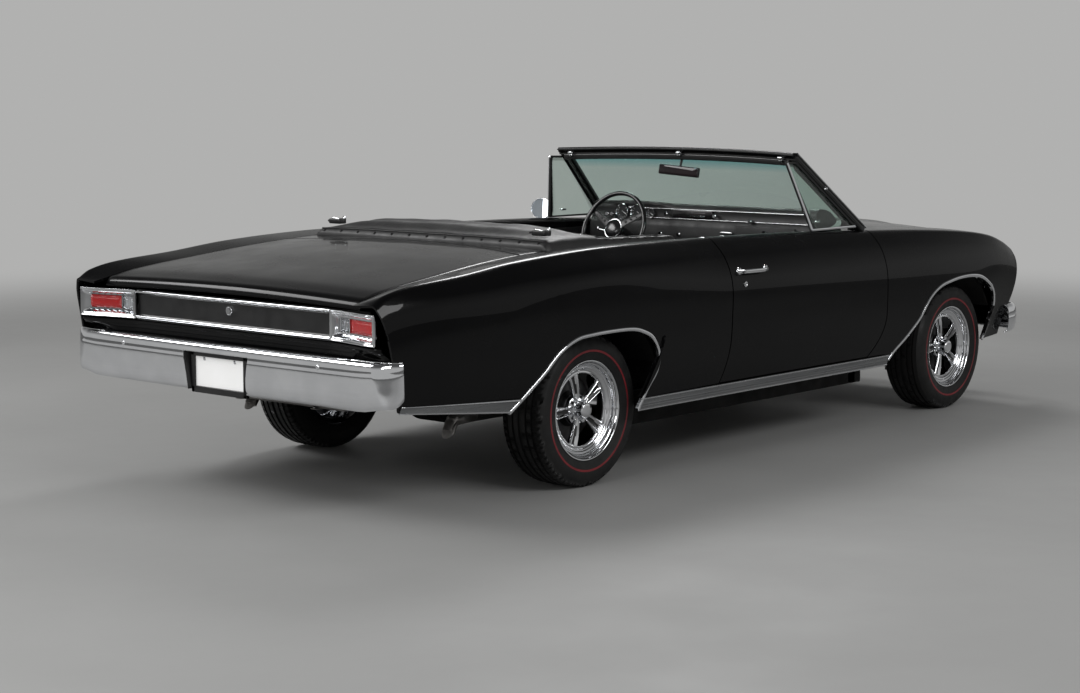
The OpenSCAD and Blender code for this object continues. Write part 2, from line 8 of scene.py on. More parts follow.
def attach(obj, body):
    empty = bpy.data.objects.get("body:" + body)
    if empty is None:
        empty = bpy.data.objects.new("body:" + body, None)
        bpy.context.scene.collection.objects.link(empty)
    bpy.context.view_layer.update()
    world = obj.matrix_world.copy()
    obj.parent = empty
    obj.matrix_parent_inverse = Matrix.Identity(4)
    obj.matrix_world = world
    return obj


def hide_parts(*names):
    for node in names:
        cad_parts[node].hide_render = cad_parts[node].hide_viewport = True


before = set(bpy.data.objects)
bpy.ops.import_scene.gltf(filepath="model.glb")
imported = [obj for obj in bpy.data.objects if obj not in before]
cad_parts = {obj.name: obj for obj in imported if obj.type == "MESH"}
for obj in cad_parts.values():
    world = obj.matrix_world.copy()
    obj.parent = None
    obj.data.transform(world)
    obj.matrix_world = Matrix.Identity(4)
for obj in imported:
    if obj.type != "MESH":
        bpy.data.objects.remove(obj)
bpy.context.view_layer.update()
random.seed(7)
print("frame loaded")


def mix(a, b, t):
    return a + (b - a) * t


def clamp(value, low=0.0, high=1.0):
    return max(low, min(high, value))


def ease(t):
    t = clamp(t)
    return t * t * (3 - 2 * t)


def curve(points, x):  # smooth line through [x, value] points; a value is a number or a list
    last = len(points) - 1
    i = 0
    while i < last - 1 and x >= points[i + 1][0]:
        i += 1

    def slope(k):
        a, b = points[max(k - 1, 0)], points[min(k + 1, last)]
        return a, b

    h = points[i + 1][0] - points[i][0]
    t = clamp((x - points[i][0]) / h)
    u = 1 - t
    weights = ((1 + 2 * t) * u * u, t * u * u * h, (1 + 2 * u) * t * t, -u * t * t * h)

    def value(pick):
        (a0, b0), (a1, b1) = slope(i), slope(i + 1)
        rise0 = (pick(b0[1]) - pick(a0[1])) / (b0[0] - a0[0])
        rise1 = (pick(b1[1]) - pick(a1[1])) / (b1[0] - a1[0])
        return (weights[0] * pick(points[i][1]) + weights[1] * rise0
                + weights[2] * pick(points[i + 1][1]) + weights[3] * rise1)

    if isinstance(points[0][1], (int, float)):
        return value(lambda v: v)
    return [value(lambda v, k=k: v[k]) for k in range(len(points[0][1]))]


def smoothPath(points, count):  # points of a polyline, spread evenly on a smooth line through them
    marks = [0.0]
    for a, b in zip(points, points[1:]):
        marks.append(marks[-1] + (Vector(b) - Vector(a)).length)
    table = [[m, list(p)] for m, p in zip(marks, points)]
    return [Vector(curve(table, marks[-1] * k / (count - 1))) for k in range(count)]


def softLine(points, radius, steps=3, closed=False):  # rounds the corners of a profile
    line = []
    count = len(points)
    for k in range(count):
        p = Vector(points[k])
        if not closed and k in (0, count - 1):
            line.append(tuple(p))
            continue
        a, b = Vector(points[k - 1]), Vector(points[(k + 1) % count])
        cut = min(radius, (a - p).length * 0.45, (b - p).length * 0.45)
        start, end = p + (a - p).normalized() * cut, p + (b - p).normalized() * cut
        for n in range(steps + 1):
            t = n / steps
            line.append(tuple(start * (1 - t) ** 2 + p * 2 * t * (1 - t) + end * t * t))
    return line


# Pieces

def addPiece(bm, name, material, body, slotName, sharp=38, merge=0.00003, bands=None):
    # bands(row) gives the material number of a face from the row of its grid
    if merge:
        bmesh.ops.remove_doubles(bm, verts=bm.verts, dist=merge)
    bmesh.ops.recalc_face_normals(bm, faces=bm.faces)
    across = bm.verts.layers.int.get("across")
    if bands:
        for f in bm.faces:
            f.material_index = bands(sum(v[across] for v in f.verts) / len(f.verts))
    for key in ("across", "along"):
        layer = bm.verts.layers.int.get(key)
        if layer:
            bm.verts.layers.int.remove(layer)
    mesh = bpy.data.meshes.new(name)
    bm.to_mesh(mesh)
    bm.free()
    piece = bpy.data.objects.new(name, mesh)
    bpy.context.scene.collection.objects.link(piece)
    for part in (material if isinstance(material, (list, tuple)) else [material]):
        mesh.materials.append(part)
    mesh.shade_smooth()
    mesh.set_sharp_from_angle(angle=math.radians(sharp))
    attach(piece, body)
    return piece


def placedGrid(bm, nu, nw, place):  # an operator's grid, each point then moved to place(i, j)
    along = bm.verts.layers.int.get("along") or bm.verts.layers.int.new("along")
    across = bm.verts.layers.int.get("across") or bm.verts.layers.int.new("across")
    along = bm.verts.layers.int["along"]
    made = bmesh.ops.create_grid(bm, x_segments=nu, y_segments=nw, size=0.5)["verts"]
    for v in made:
        i, j = round((v.co.x + 0.5) * nu), round((v.co.y + 0.5) * nw)
        v[along], v[across] = i, j
        v.co = place(i, j)
    return made


# closes a grid into a wall; inner(i, j, point, normal) is the far side
def thicken(bm, verts, inner):
    along, across = bm.verts.layers.int["along"], bm.verts.layers.int["across"]
    bm.normal_update()
    far = {(v[along], v[across]): inner(v[along], v[across], v.co.copy(), v.normal.copy())
           for v in verts}
    faces = list({f for v in verts for f in v.link_faces})
    made = bmesh.ops.extrude_face_region(bm, geom=faces, use_keep_orig=True)["geom"]
    for v in made:
        if isinstance(v, bmesh.types.BMVert):
            v.co = far[(v[along], v[across])]


def bevelSharp(bm, width, segments=2, angle=38):
    bmesh.ops.recalc_face_normals(bm, faces=bm.faces)
    edges = [e for e in bm.edges if e.is_manifold and e.calc_face_angle(0) > math.radians(angle)]
    bmesh.ops.bevel(bm, geom=edges, offset=width, segments=segments, affect="EDGES",
                    profile=0.5, material=-1, clamp_overlap=True)


def wallPiece(name, nu, nw, place, depth, material, body, slotName, bevel=0.0022, toward=None,
              segments=2, sharp=38, bands=None):
    # depth is the wall's thickness in metres, measured towards the point toward(p)
    toward = toward or (lambda p: Vector((p.x * 0.92, 0, 0.5)))
    bm = bmesh.new()
    verts = placedGrid(bm, nu, nw, place)
    bm.normal_update()
    sign = 1 if sum((toward(v.co) - v.co).dot(v.normal) for v in verts) > 0 else -1
    wall = depth if callable(depth) else (
        lambda i, j, p, n: p + n * sign * depth)
    thicken(bm, verts, wall)
    if bevel:
        bevelSharp(bm, bevel, segments)
    return addPiece(bm, name, material, body, slotName, sharp, bands=bands)


def sweep(bm, path, section, outward, closeEnds=True):
    # a closed section of (side, out) pairs along a path; outward(k) is the out direction there
    count, around = len(path), len(section)

    def place(i, j):
        a, b = path[max(i - 1, 0)], path[min(i + 1, count - 1)]
        tangent = (b - a).normalized()
        out = Vector(outward(i))
        out = (out - tangent * out.dot(tangent)).normalized()
        side = tangent.cross(out)
        s, o = section[j % around]
        return path[i] + side * s + out * o

    verts = placedGrid(bm, count - 1, around, place)
    bmesh.ops.remove_doubles(bm, verts=verts, dist=0.00001)
    if closeEnds:
        closeHoles(bm)


def closeHoles(bm):
    edges = [e for e in bm.edges if e.is_boundary]
    bmesh.ops.holes_fill(bm, edges=edges, sides=0)


def sweptPiece(name, path, section, outward, material, body, slotName, sharp=38):
    bm = bmesh.new()
    sweep(bm, path, section, outward)
    return addPiece(bm, name, material, body, slotName, sharp)


def joinInto(bm, part, matrix=None):  # adds a finished bmesh to bm
    if matrix:
        bmesh.ops.transform(part, matrix=matrix, verts=part.verts)
    carrier = bpy.data.meshes.new("carrier")
    part.to_mesh(carrier)
    part.free()
    bm.from_mesh(carrier)
    bpy.data.meshes.remove(carrier)


def lathe(bm, profile, steps, matrix, closed=False):  # (radius, height) points about matrix's Z
    part = bmesh.new()
    verts = [part.verts.new((r, 0, h)) for r, h in profile]
    edges = [part.edges.new(pair) for pair in zip(verts, verts[1:])]
    if closed:
        edges.append(part.edges.new((verts[-1], verts[0])))
    bmesh.ops.spin(part, geom=verts + edges, cent=(0, 0, 0), axis=(0, 0, 1), dvec=(0, 0, 0),
                   angle=math.tau, steps=steps, use_merge=True)
    joinInto(bm, part, matrix)


def lathePiece(name, profile, steps, matrix, material, body, slotName, closed=False, sharp=38):
    bm = bmesh.new()
    lathe(bm, profile, steps, matrix, closed)
    return addPiece(bm, name, material, body, slotName, sharp)


def addBox(bm, low, high, bevel=0.0, segments=2, matrix=None):
    low, high = Vector(low), Vector(high)
    size, middle = high - low, (low + high) / 2
    part = bmesh.new()
    bmesh.ops.create_cube(part, size=1)
    for v in part.verts:
        v.co = Vector((v.co.x * size.x, v.co.y * size.y, v.co.z * size.z)) + middle
    if bevel:
        bmesh.ops.bevel(part, geom=part.edges[:], offset=bevel, segments=segments, affect="EDGES",
                        profile=0.5, material=-1)
    joinInto(bm, part, matrix)


def addRod(bm, start, end, radius, endRadius=None, sides=16):
    start, end = Vector(start), Vector(end)
    span = end - start
    turn = span.to_track_quat("Z", "Y").to_matrix().to_4x4()
    bmesh.ops.create_cone(bm, cap_ends=True, cap_tris=False, segments=sides, radius1=radius,
                          radius2=radius if endRadius is None else endRadius,
                          depth=span.length, matrix=Matrix.Translation((start + end) / 2) @ turn)


# Finishes

# a value that drifts over a surface
def wander(tree, scale, low, high, detail=3.0, stretch=(1, 1, 1)):
    coords = tree.nodes.new("ShaderNodeTexCoord")
    mapping = tree.nodes.new("ShaderNodeMapping")
    mapping.inputs["Scale"].default_value = stretch
    noise = tree.nodes.new("ShaderNodeTexNoise")
    noise.inputs["Scale"].default_value = scale
    noise.inputs["Detail"].default_value = detail
    spread = tree.nodes.new("ShaderNodeMapRange")
    for key, value in (("From Min", 0.32), ("From Max", 0.68), ("To Min", low), ("To Max", high)):
        spread.inputs[key].default_value = value
    tree.links.new(coords.outputs["Object"], mapping.inputs["Vector"])
    tree.links.new(mapping.outputs["Vector"], noise.inputs["Vector"])
    tree.links.new(noise.outputs["Fac"], spread.inputs["Value"])
    return spread.outputs["Result"]


def reliefHeight(tree, kind, scale, stretch=(1, 1, 1)):
    coords = tree.nodes.new("ShaderNodeTexCoord")
    mapping = tree.nodes.new("ShaderNodeMapping")
    mapping.inputs["Scale"].default_value = stretch
    tree.links.new(coords.outputs["Object"], mapping.inputs["Vector"])
    if kind == "grain":  # rounded leather cells
        texture = tree.nodes.new("ShaderNodeTexVoronoi")
        texture.feature = "SMOOTH_F1"
        texture.inputs["Smoothness"].default_value = 0.6
        output = texture.outputs["Distance"]
    elif kind == "ribs":
        texture = tree.nodes.new("ShaderNodeTexWave")
        texture.bands_direction = "Z"
        output = texture.outputs["Fac"]
    else:
        texture = tree.nodes.new("ShaderNodeTexNoise")
        texture.inputs["Detail"].default_value = 4.0
        output = texture.outputs["Fac"]
    texture.inputs["Scale"].default_value = scale
    tree.links.new(mapping.outputs["Vector"], texture.inputs["Vector"])
    return output


def finish(name, tones, toneScale=5.0, rough=(0.3, 0.4), roughScale=18.0, metal=0.0, coat=0.0,
           coatRough=0.03, specular=0.5, sheen=0.0, relief=None, stretch=(1, 1, 1)):
    # relief is (kind, scale, strength, height in metres)
    material = bpy.data.materials.new(name)
    material.use_nodes = True
    tree = material.node_tree
    shader = tree.nodes["Principled BSDF"]
    shader.inputs["Metallic"].default_value = metal
    shader.inputs["Coat Weight"].default_value = coat
    shader.inputs["Coat Roughness"].default_value = coatRough
    shader.inputs["Specular IOR Level"].default_value = specular
    shader.inputs["Sheen Weight"].default_value = sheen
    blend = tree.nodes.new("ShaderNodeValToRGB")
    for element, tone in zip(blend.color_ramp.elements, tones):
        element.color = (*tone, 1)
    tree.links.new(wander(tree, toneScale, 0, 1, 5.0, stretch), blend.inputs["Fac"])
    tree.links.new(blend.outputs["Color"], shader.inputs["Base Color"])
    tree.links.new(wander(tree, roughScale, *rough, 3.0, stretch), shader.inputs["Roughness"])
    if relief:
        kind, scale, strength, height = relief
        bump = tree.nodes.new("ShaderNodeBump")
        bump.inputs["Strength"].default_value = strength
        bump.inputs["Distance"].default_value = height
        tree.links.new(reliefHeight(tree, kind, scale, stretch), bump.inputs["Height"])
        tree.links.new(bump.outputs["Normal"], shader.inputs["Normal"])
    return material


def heightRamp(material, low, high, stops):  # colour that changes with height in metres
    tree = material.node_tree
    shader = tree.nodes["Principled BSDF"]
    coords = tree.nodes.new("ShaderNodeTexCoord")
    split = tree.nodes.new("ShaderNodeSeparateXYZ")
    spread = tree.nodes.new("ShaderNodeMapRange")
    spread.inputs["From Min"].default_value = low
    spread.inputs["From Max"].default_value = high
    ramp = tree.nodes.new("ShaderNodeValToRGB")
    while len(ramp.color_ramp.elements) < len(stops):
        ramp.color_ramp.elements.new(0.5)
    for element, (place, tone) in zip(ramp.color_ramp.elements, stops):
        element.position = place
        element.color = (*tone, 1)
    tree.links.new(coords.outputs["Object"], split.inputs["Vector"])
    tree.links.new(split.outputs["Z"], spread.inputs["Value"])
    tree.links.new(spread.outputs["Result"], ramp.inputs["Fac"])
    tree.links.new(ramp.outputs["Color"], shader.inputs["Base Color"])


def glassFinish(name, tones, rough, relief=None):
    material = finish(name, tones, 3.0, rough, 12.0, relief=relief)
    shader = material.node_tree.nodes["Principled BSDF"]
    shader.inputs["Transmission Weight"].default_value = 1.0
    shader.inputs["IOR"].default_value = 1.45
    return material


blackPaint = finish("blackPaint", ((0.0016, 0.0016, 0.0018), (0.0026, 0.0026, 0.0029)), 1.5,
                    (0.20, 0.28), 6.0, coat=0.30, coatRough=0.015, specular=0.04,
                    relief=("noise", 500, 0.02, 0.0003))
chrome = finish("polishedChrome", ((0.70, 0.71, 0.73), (0.80, 0.81, 0.83)), 7.0, (0.03, 0.075), 9.0,
                metal=1.0, relief=("noise", 26, 0.03, 0.0006))
brightTrim = finish("brushedTrim", ((0.60, 0.61, 0.62), (0.72, 0.73, 0.74)), 60.0, (0.16, 0.26),
                    80.0, metal=1.0, relief=("noise", 300, 0.1, 0.0002), stretch=(0.05, 1, 1))
chassisPaint = finish("chassisPaint", ((0.004, 0.004, 0.004), (0.008, 0.0078, 0.0075)), 6.0,
                      (0.6, 0.8), 14.0, specular=0.2, relief=("noise", 220, 0.15, 0.0008))
dullSteel = finish("dullSteel", ((0.20, 0.19, 0.18), (0.36, 0.35, 0.34)), 9.0, (0.34, 0.55), 20.0,
                   metal=1.0, relief=("noise", 120, 0.12, 0.0006))
castIron = finish("castIron", ((0.045, 0.045, 0.048), (0.085, 0.083, 0.082)), 16.0, (0.5, 0.7),
                  30.0, metal=0.6, relief=("noise", 420, 0.35, 0.0012))
tyreRubber = finish("tyreRubber", ((0.0055, 0.0055, 0.0058), (0.0100, 0.0098, 0.0095)), 9.0,
                    (0.50, 0.68), 26.0, specular=0.3, relief=("noise", 600, 0.12, 0.0005))
redBand = finish("redBand", ((0.12, 0.004, 0.008), (0.17, 0.008, 0.012)), 22.0, (0.42, 0.58), 30.0,
                 relief=("noise", 500, 0.1, 0.0003))
vinyl = finish("grainedVinyl", ((0.0075, 0.0075, 0.008), (0.014, 0.0138, 0.0138)), 8.0,
               (0.34, 0.5), 22.0, specular=0.45, relief=("grain", 420, 0.35, 0.0006))
coverVinyl = finish("coverVinyl", ((0.008, 0.008, 0.0085), (0.015, 0.0148, 0.0148)), 6.0,
                    (0.42, 0.56), 18.0, relief=("grain", 620, 0.3, 0.0005))
carpet = finish("cutPileCarpet", ((0.006, 0.006, 0.0065), (0.020, 0.0198, 0.0195)), 70.0,
                (0.82, 0.96), 40.0, sheen=0.35, specular=0.1, relief=("noise", 1100, 0.9, 0.003))
paddedBlack = finish("paddedDash", ((0.008, 0.008, 0.0085), (0.013, 0.013, 0.0132)), 8.0,
                     (0.45, 0.6), 22.0, relief=("grain", 700, 0.3, 0.0004))
mouldedBlack = finish("mouldedBlack", ((0.007, 0.007, 0.0075), (0.011, 0.011, 0.0112)), 12.0,
                      (0.14, 0.24), 25.0, relief=("noise", 300, 0.03, 0.0003))
sealRubber = finish("sealRubber", ((0.008, 0.008, 0.008), (0.015, 0.015, 0.015)), 30.0,
                    (0.55, 0.75), 30.0, relief=("noise", 500, 0.2, 0.0004))
satinBlack = finish("satinBlack", ((0.006, 0.006, 0.0064), (0.011, 0.011, 0.0112)), 10.0,
                    (0.30, 0.42), 20.0, relief=("noise", 300, 0.05, 0.0003))
whitePlate = finish("whitePlate", ((0.93, 0.93, 0.92), (0.96, 0.96, 0.955)), 14.0, (0.3, 0.42),
                    22.0, relief=("noise", 260, 0.05, 0.0003))
dialFace = finish("dialFace", ((0.010, 0.011, 0.012), (0.018, 0.019, 0.020)), 30.0, (0.4, 0.5),
                  30.0, relief=("noise", 300, 0.05, 0.0002))
mirrorGlass = finish("mirrorGlass", ((0.46, 0.51, 0.56), (0.52, 0.57, 0.62)), 5.0, (0.008, 0.02),
                     6.0, metal=1.0)
# the interior mirror's glass is a dark reddish non-metal: a painted reflection of dark surroundings in
# place of a mirror
paintedReflectionMirror = finish("paintedReflectionMirror", ((0.012, 0.008, 0.009), (0.018, 0.012, 0.013)), 5.0, (0.02, 0.05),
                    6.0, specular=0.3)
redLens = finish("redLens", ((0.46, 0.006, 0.008), (0.60, 0.012, 0.014)), 3.0, (0.08, 0.14), 12.0,
                 coat=0.6, relief=("ribs", 110, 0.35, 0.0016))
redLens.node_tree.nodes["Principled BSDF"].inputs["Transmission Weight"].default_value = 0.3
clearLens = glassFinish("clearLens", ((0.88, 0.89, 0.90), (0.94, 0.95, 0.96)), (0.04, 0.09),
                        ("ribs", 90, 0.3, 0.0016))
windowGlass = glassFinish("windowGlass", ((0.66, 0.77, 0.72), (0.70, 0.80, 0.75)), (0.002, 0.008))
bandedGlass = glassFinish("bandedGlass", ((0.66, 0.77, 0.72), (0.70, 0.80, 0.75)), (0.002, 0.008))
heightRamp(bandedGlass, 1.0, 1.35, ((0.0, (0.64, 0.76, 0.71)), (0.66, (0.62, 0.75, 0.70)),
                                    (0.80, (0.25, 0.55, 0.55)), (0.92, (0.06, 0.26, 0.30))))
print("finishes made")

mm = 0.001
sides = (("left", 1), ("right", -1))

# Body lines in millimetres: the crest is the top line of fender, door and quarter; the side table
# gives the half-width at six fractions of the height from sill to crest
bodyLines = {
    "crest": [[-2490, 846], [-2430, 880], [-2300, 906], [-2003, 930], [-1700, 962], [-1250, 985],
              [-800, 986], [-200, 980], [336, 971], [900, 950], [1400, 931], [1800, 905],
              [2050, 875], [2200, 836], [2300, 792]],
    "baseZ": 300,
    "levels": [0, 0.25, 0.5, 0.72, 0.88, 1],
    "side": [[-2490, [872, 892, 904, 903, 894, 868]], [-2150, [898, 919, 931, 933, 920, 878]],
             [-1700, [908, 934, 945, 948, 928, 868]], [-1250, [920, 938, 949, 951, 929, 845]],
             [-800, [918, 937, 948, 948, 915, 828]], [-400, [916, 934, 944, 941, 897, 818]],
             [300, [914, 931, 940, 934, 890, 815]], [900, [914, 930, 938, 931, 893, 826]],
             [1400, [912, 928, 935, 928, 896, 838]], [1800, [886, 905, 922, 918, 892, 846]],
             [2050, [852, 872, 897, 903, 884, 848]], [2330, [826, 846, 866, 872, 864, 842]]],
    "deckEdge": [[-2490, 838], [-2430, 850], [-2300, 878], [-2000, 914], [-1700, 946],
                 [-1420, 966], [-1000, 978], [-375, 974]],
    "lidHalfWidth": [[-2490, 745], [-2300, 738], [-1540, 690], [-1300, 690], [-375, 694]],
    "hoodHalfWidth": 694,
    "gap": 6,
    "crestStart": 0.955,  # where the flank starts to round over into the crest
    "crestEnd": 0.16,  # how far across the top strip the rounding reaches
}


def crestZ(x):
    return curve(bodyLines["crest"], x)


def sideY(x, z):
    widths = curve(bodyLines["side"], x)
    f = clamp((z - bodyLines["baseZ"]) / (crestZ(x) - bodyLines["baseZ"]))
    y = curve([[level, width] for level, width in zip(bodyLines["levels"], widths)], f)
    return min(y, 946) + max(y - 946, 0) * 0.6


def columnPoint(column, f):  # point at fraction f of a column from its foot to the crest
    footX, footZ, topX, sweepShare, nose = column
    early = 1 - (1 - min(f / 0.33, 1)) ** 2
    x = mix(footX, topX, mix(f, early, sweepShare)) + nose * f * f * (1 - f)
    z = mix(footZ, crestZ(topX), f)
    return Vector((x, sideY(x, z), z))


def deckZ(x, y):
    return curve(bodyLines["deckEdge"], x) + 14 * (1 - (y / 700) ** 2)


def hoodZ(x, y):
    return crestZ(x) + 8 + 34 * (1 - (y / bodyLines["hoodHalfWidth"]) ** 2)


def topPoint(column, v, edgeY, edgeZ):
    p = columnPoint(column, 1)
    return Vector((p.x, mix(p.y, edgeY, v), mix(p.z, edgeZ, v) + 3 * v * (1 - v)))


def panelPoint(column, share, edgeY, edgeZ):  # flank, rounded crest and top strip
    start, end = bodyLines["crestStart"], bodyLines["crestEnd"]
    if share < 0.68:
        return columnPoint(column, share / 0.68 * start)
    if share < 0.84:
        t = (share - 0.68) / 0.16
        return (columnPoint(column, start) * (1 - t) ** 2 + columnPoint(column, 1) * 2 * t * (1 - t)
                + topPoint(column, end, edgeY, edgeZ) * t * t)
    return topPoint(column, mix(end, 1, (share - 0.84) / 0.16), edgeY, edgeZ)


def placeOn(side, point):
    return Vector((point[0], point[1] * side, point[2])) * mm


# Fenders and quarters; a column is [foot x, foot z, top x, share of sweep, nose bulge]
fender = {
    "columns": [[766, 358, 912, 1, 0], [830, 358, 940, 0.8, 0], [900, 357, 970, 0.4, 0],
                [985, 354, 1010, 0.1, 0], [1030, 376, 1060, 0, 0], [1089, 412, 1115, 0, 0],
                [1160, 460, 1175, 0, 0], [1226, 509, 1238, 0, 0], [1275, 558, 1290, 0, 0],
                [1330, 608, 1345, 0, 0], [1413, 649, 1420, 0, 0], [1511, 669, 1511, 0, 0],
                [1610, 680, 1600, 0, 0], [1700, 683, 1690, 0, 0], [1790, 678, 1780, 0, 0],
                [1870, 662, 1860, 0, 0], [1940, 632, 1940, 0, 0], [1998, 594, 2010, 0, 0],
                [2034, 545, 2060, 0, 30], [2038, 490, 2100, 0, 80], [2018, 435, 2135, 0, 150],
                [1985, 384, 2165, 0, 220], [1958, 342, 2190, 0, 280], [2030, 340, 2220, 0, 340],
                [2100, 342, 2252, 0, 400], [2165, 346, 2284, 0, 440]],
    "steps": (130, 56), "thickness": 0.010,
}
quarter = {
    "columns": [[-2400, 446, -2492, 0, 60], [-2330, 452, -2440, 0, 0], [-2200, 452, -2320, 0, 0],
                [-2060, 448, -2180, 0, 0], [-1920, 444, -2040, 0, 0], [-1800, 438, -1930, 0, 0],
                [-1739, 434, -1860, 0, 0], [-1700, 462, -1800, 0, 0], [-1650, 499, -1730, 0, 0],
                [-1610, 529, -1670, 0, 0], [-1568, 565, -1610, 0, 0], [-1520, 602, -1550, 0, 0],
                [-1438, 634, -1460, 0, 0], [-1330, 644, -1350, 0, 0], [-1217, 648, -1230, 0, 0],
                [-1100, 645, -1110, 0, 0], [-1020, 631, -1010, 0, 0], [-952, 600, -920, 0, 0],
                [-916, 566, -860, 0, 0], [-898, 524, -805, 0, 0], [-905, 478, -755, 0, 0],
                [-938, 428, -710, 0, 0], [-978, 378, -660, 0, 0], [-1000, 353, -610, 0, 0],
                [-900, 354, -560, 0, 0], [-740, 356, -500, 0.2, 0], [-590, 357, -440, 0.6, 0],
                [-447, 358, -382, 1, 0]],
    "steps": (150, 56), "thickness": 0.010,
}


def columnAt(columns, share):  # a column between the listed ones, by share of the list's length
    return curve([[k, column] for k, column in enumerate(columns)], share * (len(columns) - 1))


def sidePanel(name, look, side, edge, body, node):
    nu, nw = look["steps"]
    columns = [columnAt(look["columns"], i / nu) for i in range(nu + 1)]
    edges = [edge(column[2]) for column in columns]
    piece = wallPiece(name, nu, nw,
                      lambda i, j: placeOn(side, panelPoint(columns[i], j / nw, *edges[i])),
                      look["thickness"], blackPaint, body, "paint",
                      toward=lambda p: Vector((p.x, 0, 0.55)))
    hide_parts(node)
    return piece


for label, side in sides:
    sidePanel("fenderSkin_" + label, fender, side,
              lambda x: (bodyLines["hoodHalfWidth"] + bodyLines["gap"], crestZ(x) + 8),
              "body", "fender_" + label)
    sidePanel("quarterSkin_" + label, quarter, side,
              lambda x: (curve(bodyLines["lidHalfWidth"], x) + bodyLines["gap"],
                         curve(bodyLines["deckEdge"], x)),
              "body", "quarter_" + label)
print("fenders and quarters built")

# Doors: a closed box from the skin to the inner face
door = {
    "columns": [[-440, -375], [-300, -240], [-150, -100], [0, 40], [150, 180], [300, 320],
                [430, 460], [550, 600], [650, 740], [700, 830], [759, 905]],
    "bottomZ": 360, "innerY": 765, "steps": (90, 48), "hingeInset": 16,
}


def doorColumn(share):
    k = share * (len(door["columns"]) - 1)
    foot, top = curve([[n, c] for n, c in enumerate(door["columns"])], k)
    return [foot, door["bottomZ"], top, abs(k / 5 - 1), 0]


def doorPoint(column, share):
    start = bodyLines["crestStart"]
    if share < 0.82:
        return columnPoint(column, share / 0.82 * start)
    t = (share - 0.82) / 0.18
    crest = columnPoint(column, 1)
    ledge = Vector((crest.x, crest.y - 26, crest.z + 1))
    return columnPoint(column, start) * (1 - t) ** 2 + crest * 2 * t * (1 - t) + ledge * t * t


def doorShell(label, side):
    nu, nw = door["steps"]
    columns = [doorColumn(i / nu) for i in range(nu + 1)]

    def inner(i, j, p, normal):
        f = min(j / nw / 0.82, 1)
        inset = door["hingeInset"] * max(0, 1 - i / nu * 10)
        return Vector((p.x + inset * mm, side * door["innerY"] * mm,
                       min(p.z, (crestZ(columns[i][2]) - 2) * mm) - 3 * f * mm))

    piece = wallPiece("doorSkin_" + label, nu, nw,
                      lambda i, j: placeOn(side, doorPoint(columns[i], j / nw)), inner,
                      blackPaint, "door_" + label, "paint", bevel=0.003)
    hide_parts("door_" + label)


for label, side in sides:
    doorShell(label, side)
print("doors built")

# Hood and trunk lid
hood = {"backX": 1080, "frontX": 2338, "frontDip": 44, "steps": (64, 60), "thickness": 18,
        "bulge": 9, "bulgeHalfWidth": 235}
lid = {"frontX": -1385, "frontDip": 110, "backX": -2402, "steps": (56, 60), "thickness": 16,
       "lipReach": 38, "lipDrop": 36}


def hoodPoint(u, t):
    halfWidth = bodyLines["hoodHalfWidth"]
    y = t * halfWidth
    x = mix(hood["backX"], hood["frontX"] - hood["frontDip"] * t * t, u)
    lip = 16 * ease((u - 0.93) / 0.07) ** 2
    bulge = hood["bulge"] * ease((hood["bulgeHalfWidth"] + 60 - abs(y)) / 60)
    bulge *= ease((1 - u) / 0.12) * 0.6 + 0.4
    return Vector((x, y, hoodZ(x, y) - lip - hood["bulge"] + bulge * ease(u / 0.05)
                   + hood["bulge"] * (1 - ease(u / 0.05))))


def panelInner(thickness):  # underside with pressed ribs along the edges and crosswise
    def inner(i, j, p, normal, nu=64, nw=60):
        edge = min(i / nu, 1 - i / nu, j / nw, 1 - j / nw)
        rib = max(ease(1 - abs(edge - 0.02) / 0.06), ease(1 - abs(i / nu - j / nw) / 0.05),
                  ease(1 - abs(i / nu - 1 + j / nw) / 0.05))
        return p - Vector((0, 0, mix(7, thickness, rib) * mm))
    return inner


nu, nw = hood["steps"]
hoodPanel = wallPiece("hoodPanel", nu, nw, lambda i, j: hoodPoint(i / nu, j / nw * 2 - 1) * mm,
                      panelInner(hood["thickness"]), blackPaint, "hood", "paint")
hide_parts("hood")


def lidPoint(u, t):
    flat = 0.9
    run = min(u / flat, 1)
    x = mix(lid["frontX"] - lid["frontDip"] * t * t, lid["backX"], run)
    z = deckZ(x, t * 690)
    if u > flat:  # the lip turns down at the back
        turn = (u - flat) / (1 - flat) * math.pi / 2
        x -= lid["lipReach"] * math.sin(turn)
        z -= lid["lipDrop"] * (1 - math.cos(turn)) + 5 * math.sin(turn)
    return Vector((x, t * curve(bodyLines["lidHalfWidth"], x), z))


nu, nw = lid["steps"]
lidPanel = wallPiece("trunkLidPanel", nu, nw, lambda i, j: lidPoint(i / nu, j / nw * 2 - 1) * mm,
                     0.014, blackPaint, "trunk_lid", "paint",
                     toward=lambda p: Vector((-1.9, p.y, 0.3)))
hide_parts("trunk_lid")


def deckPoint(u, t):
    y = t * 686
    x = mix(-1322, lid["frontX"] - lid["frontDip"] * (y / 690) ** 2 + bodyLines["gap"], u)
    return Vector((x, y, deckZ(x, y)))


deckStrip = wallPiece("deckPanelSkin", 10, 60, lambda i, j: deckPoint(i / 10, j / 30 - 1) * mm,
                      0.010, blackPaint, "body", "paint", toward=lambda p: Vector((p.x, p.y, 0)))
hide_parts("deck_panel")
print("hood, trunk lid and deck built")

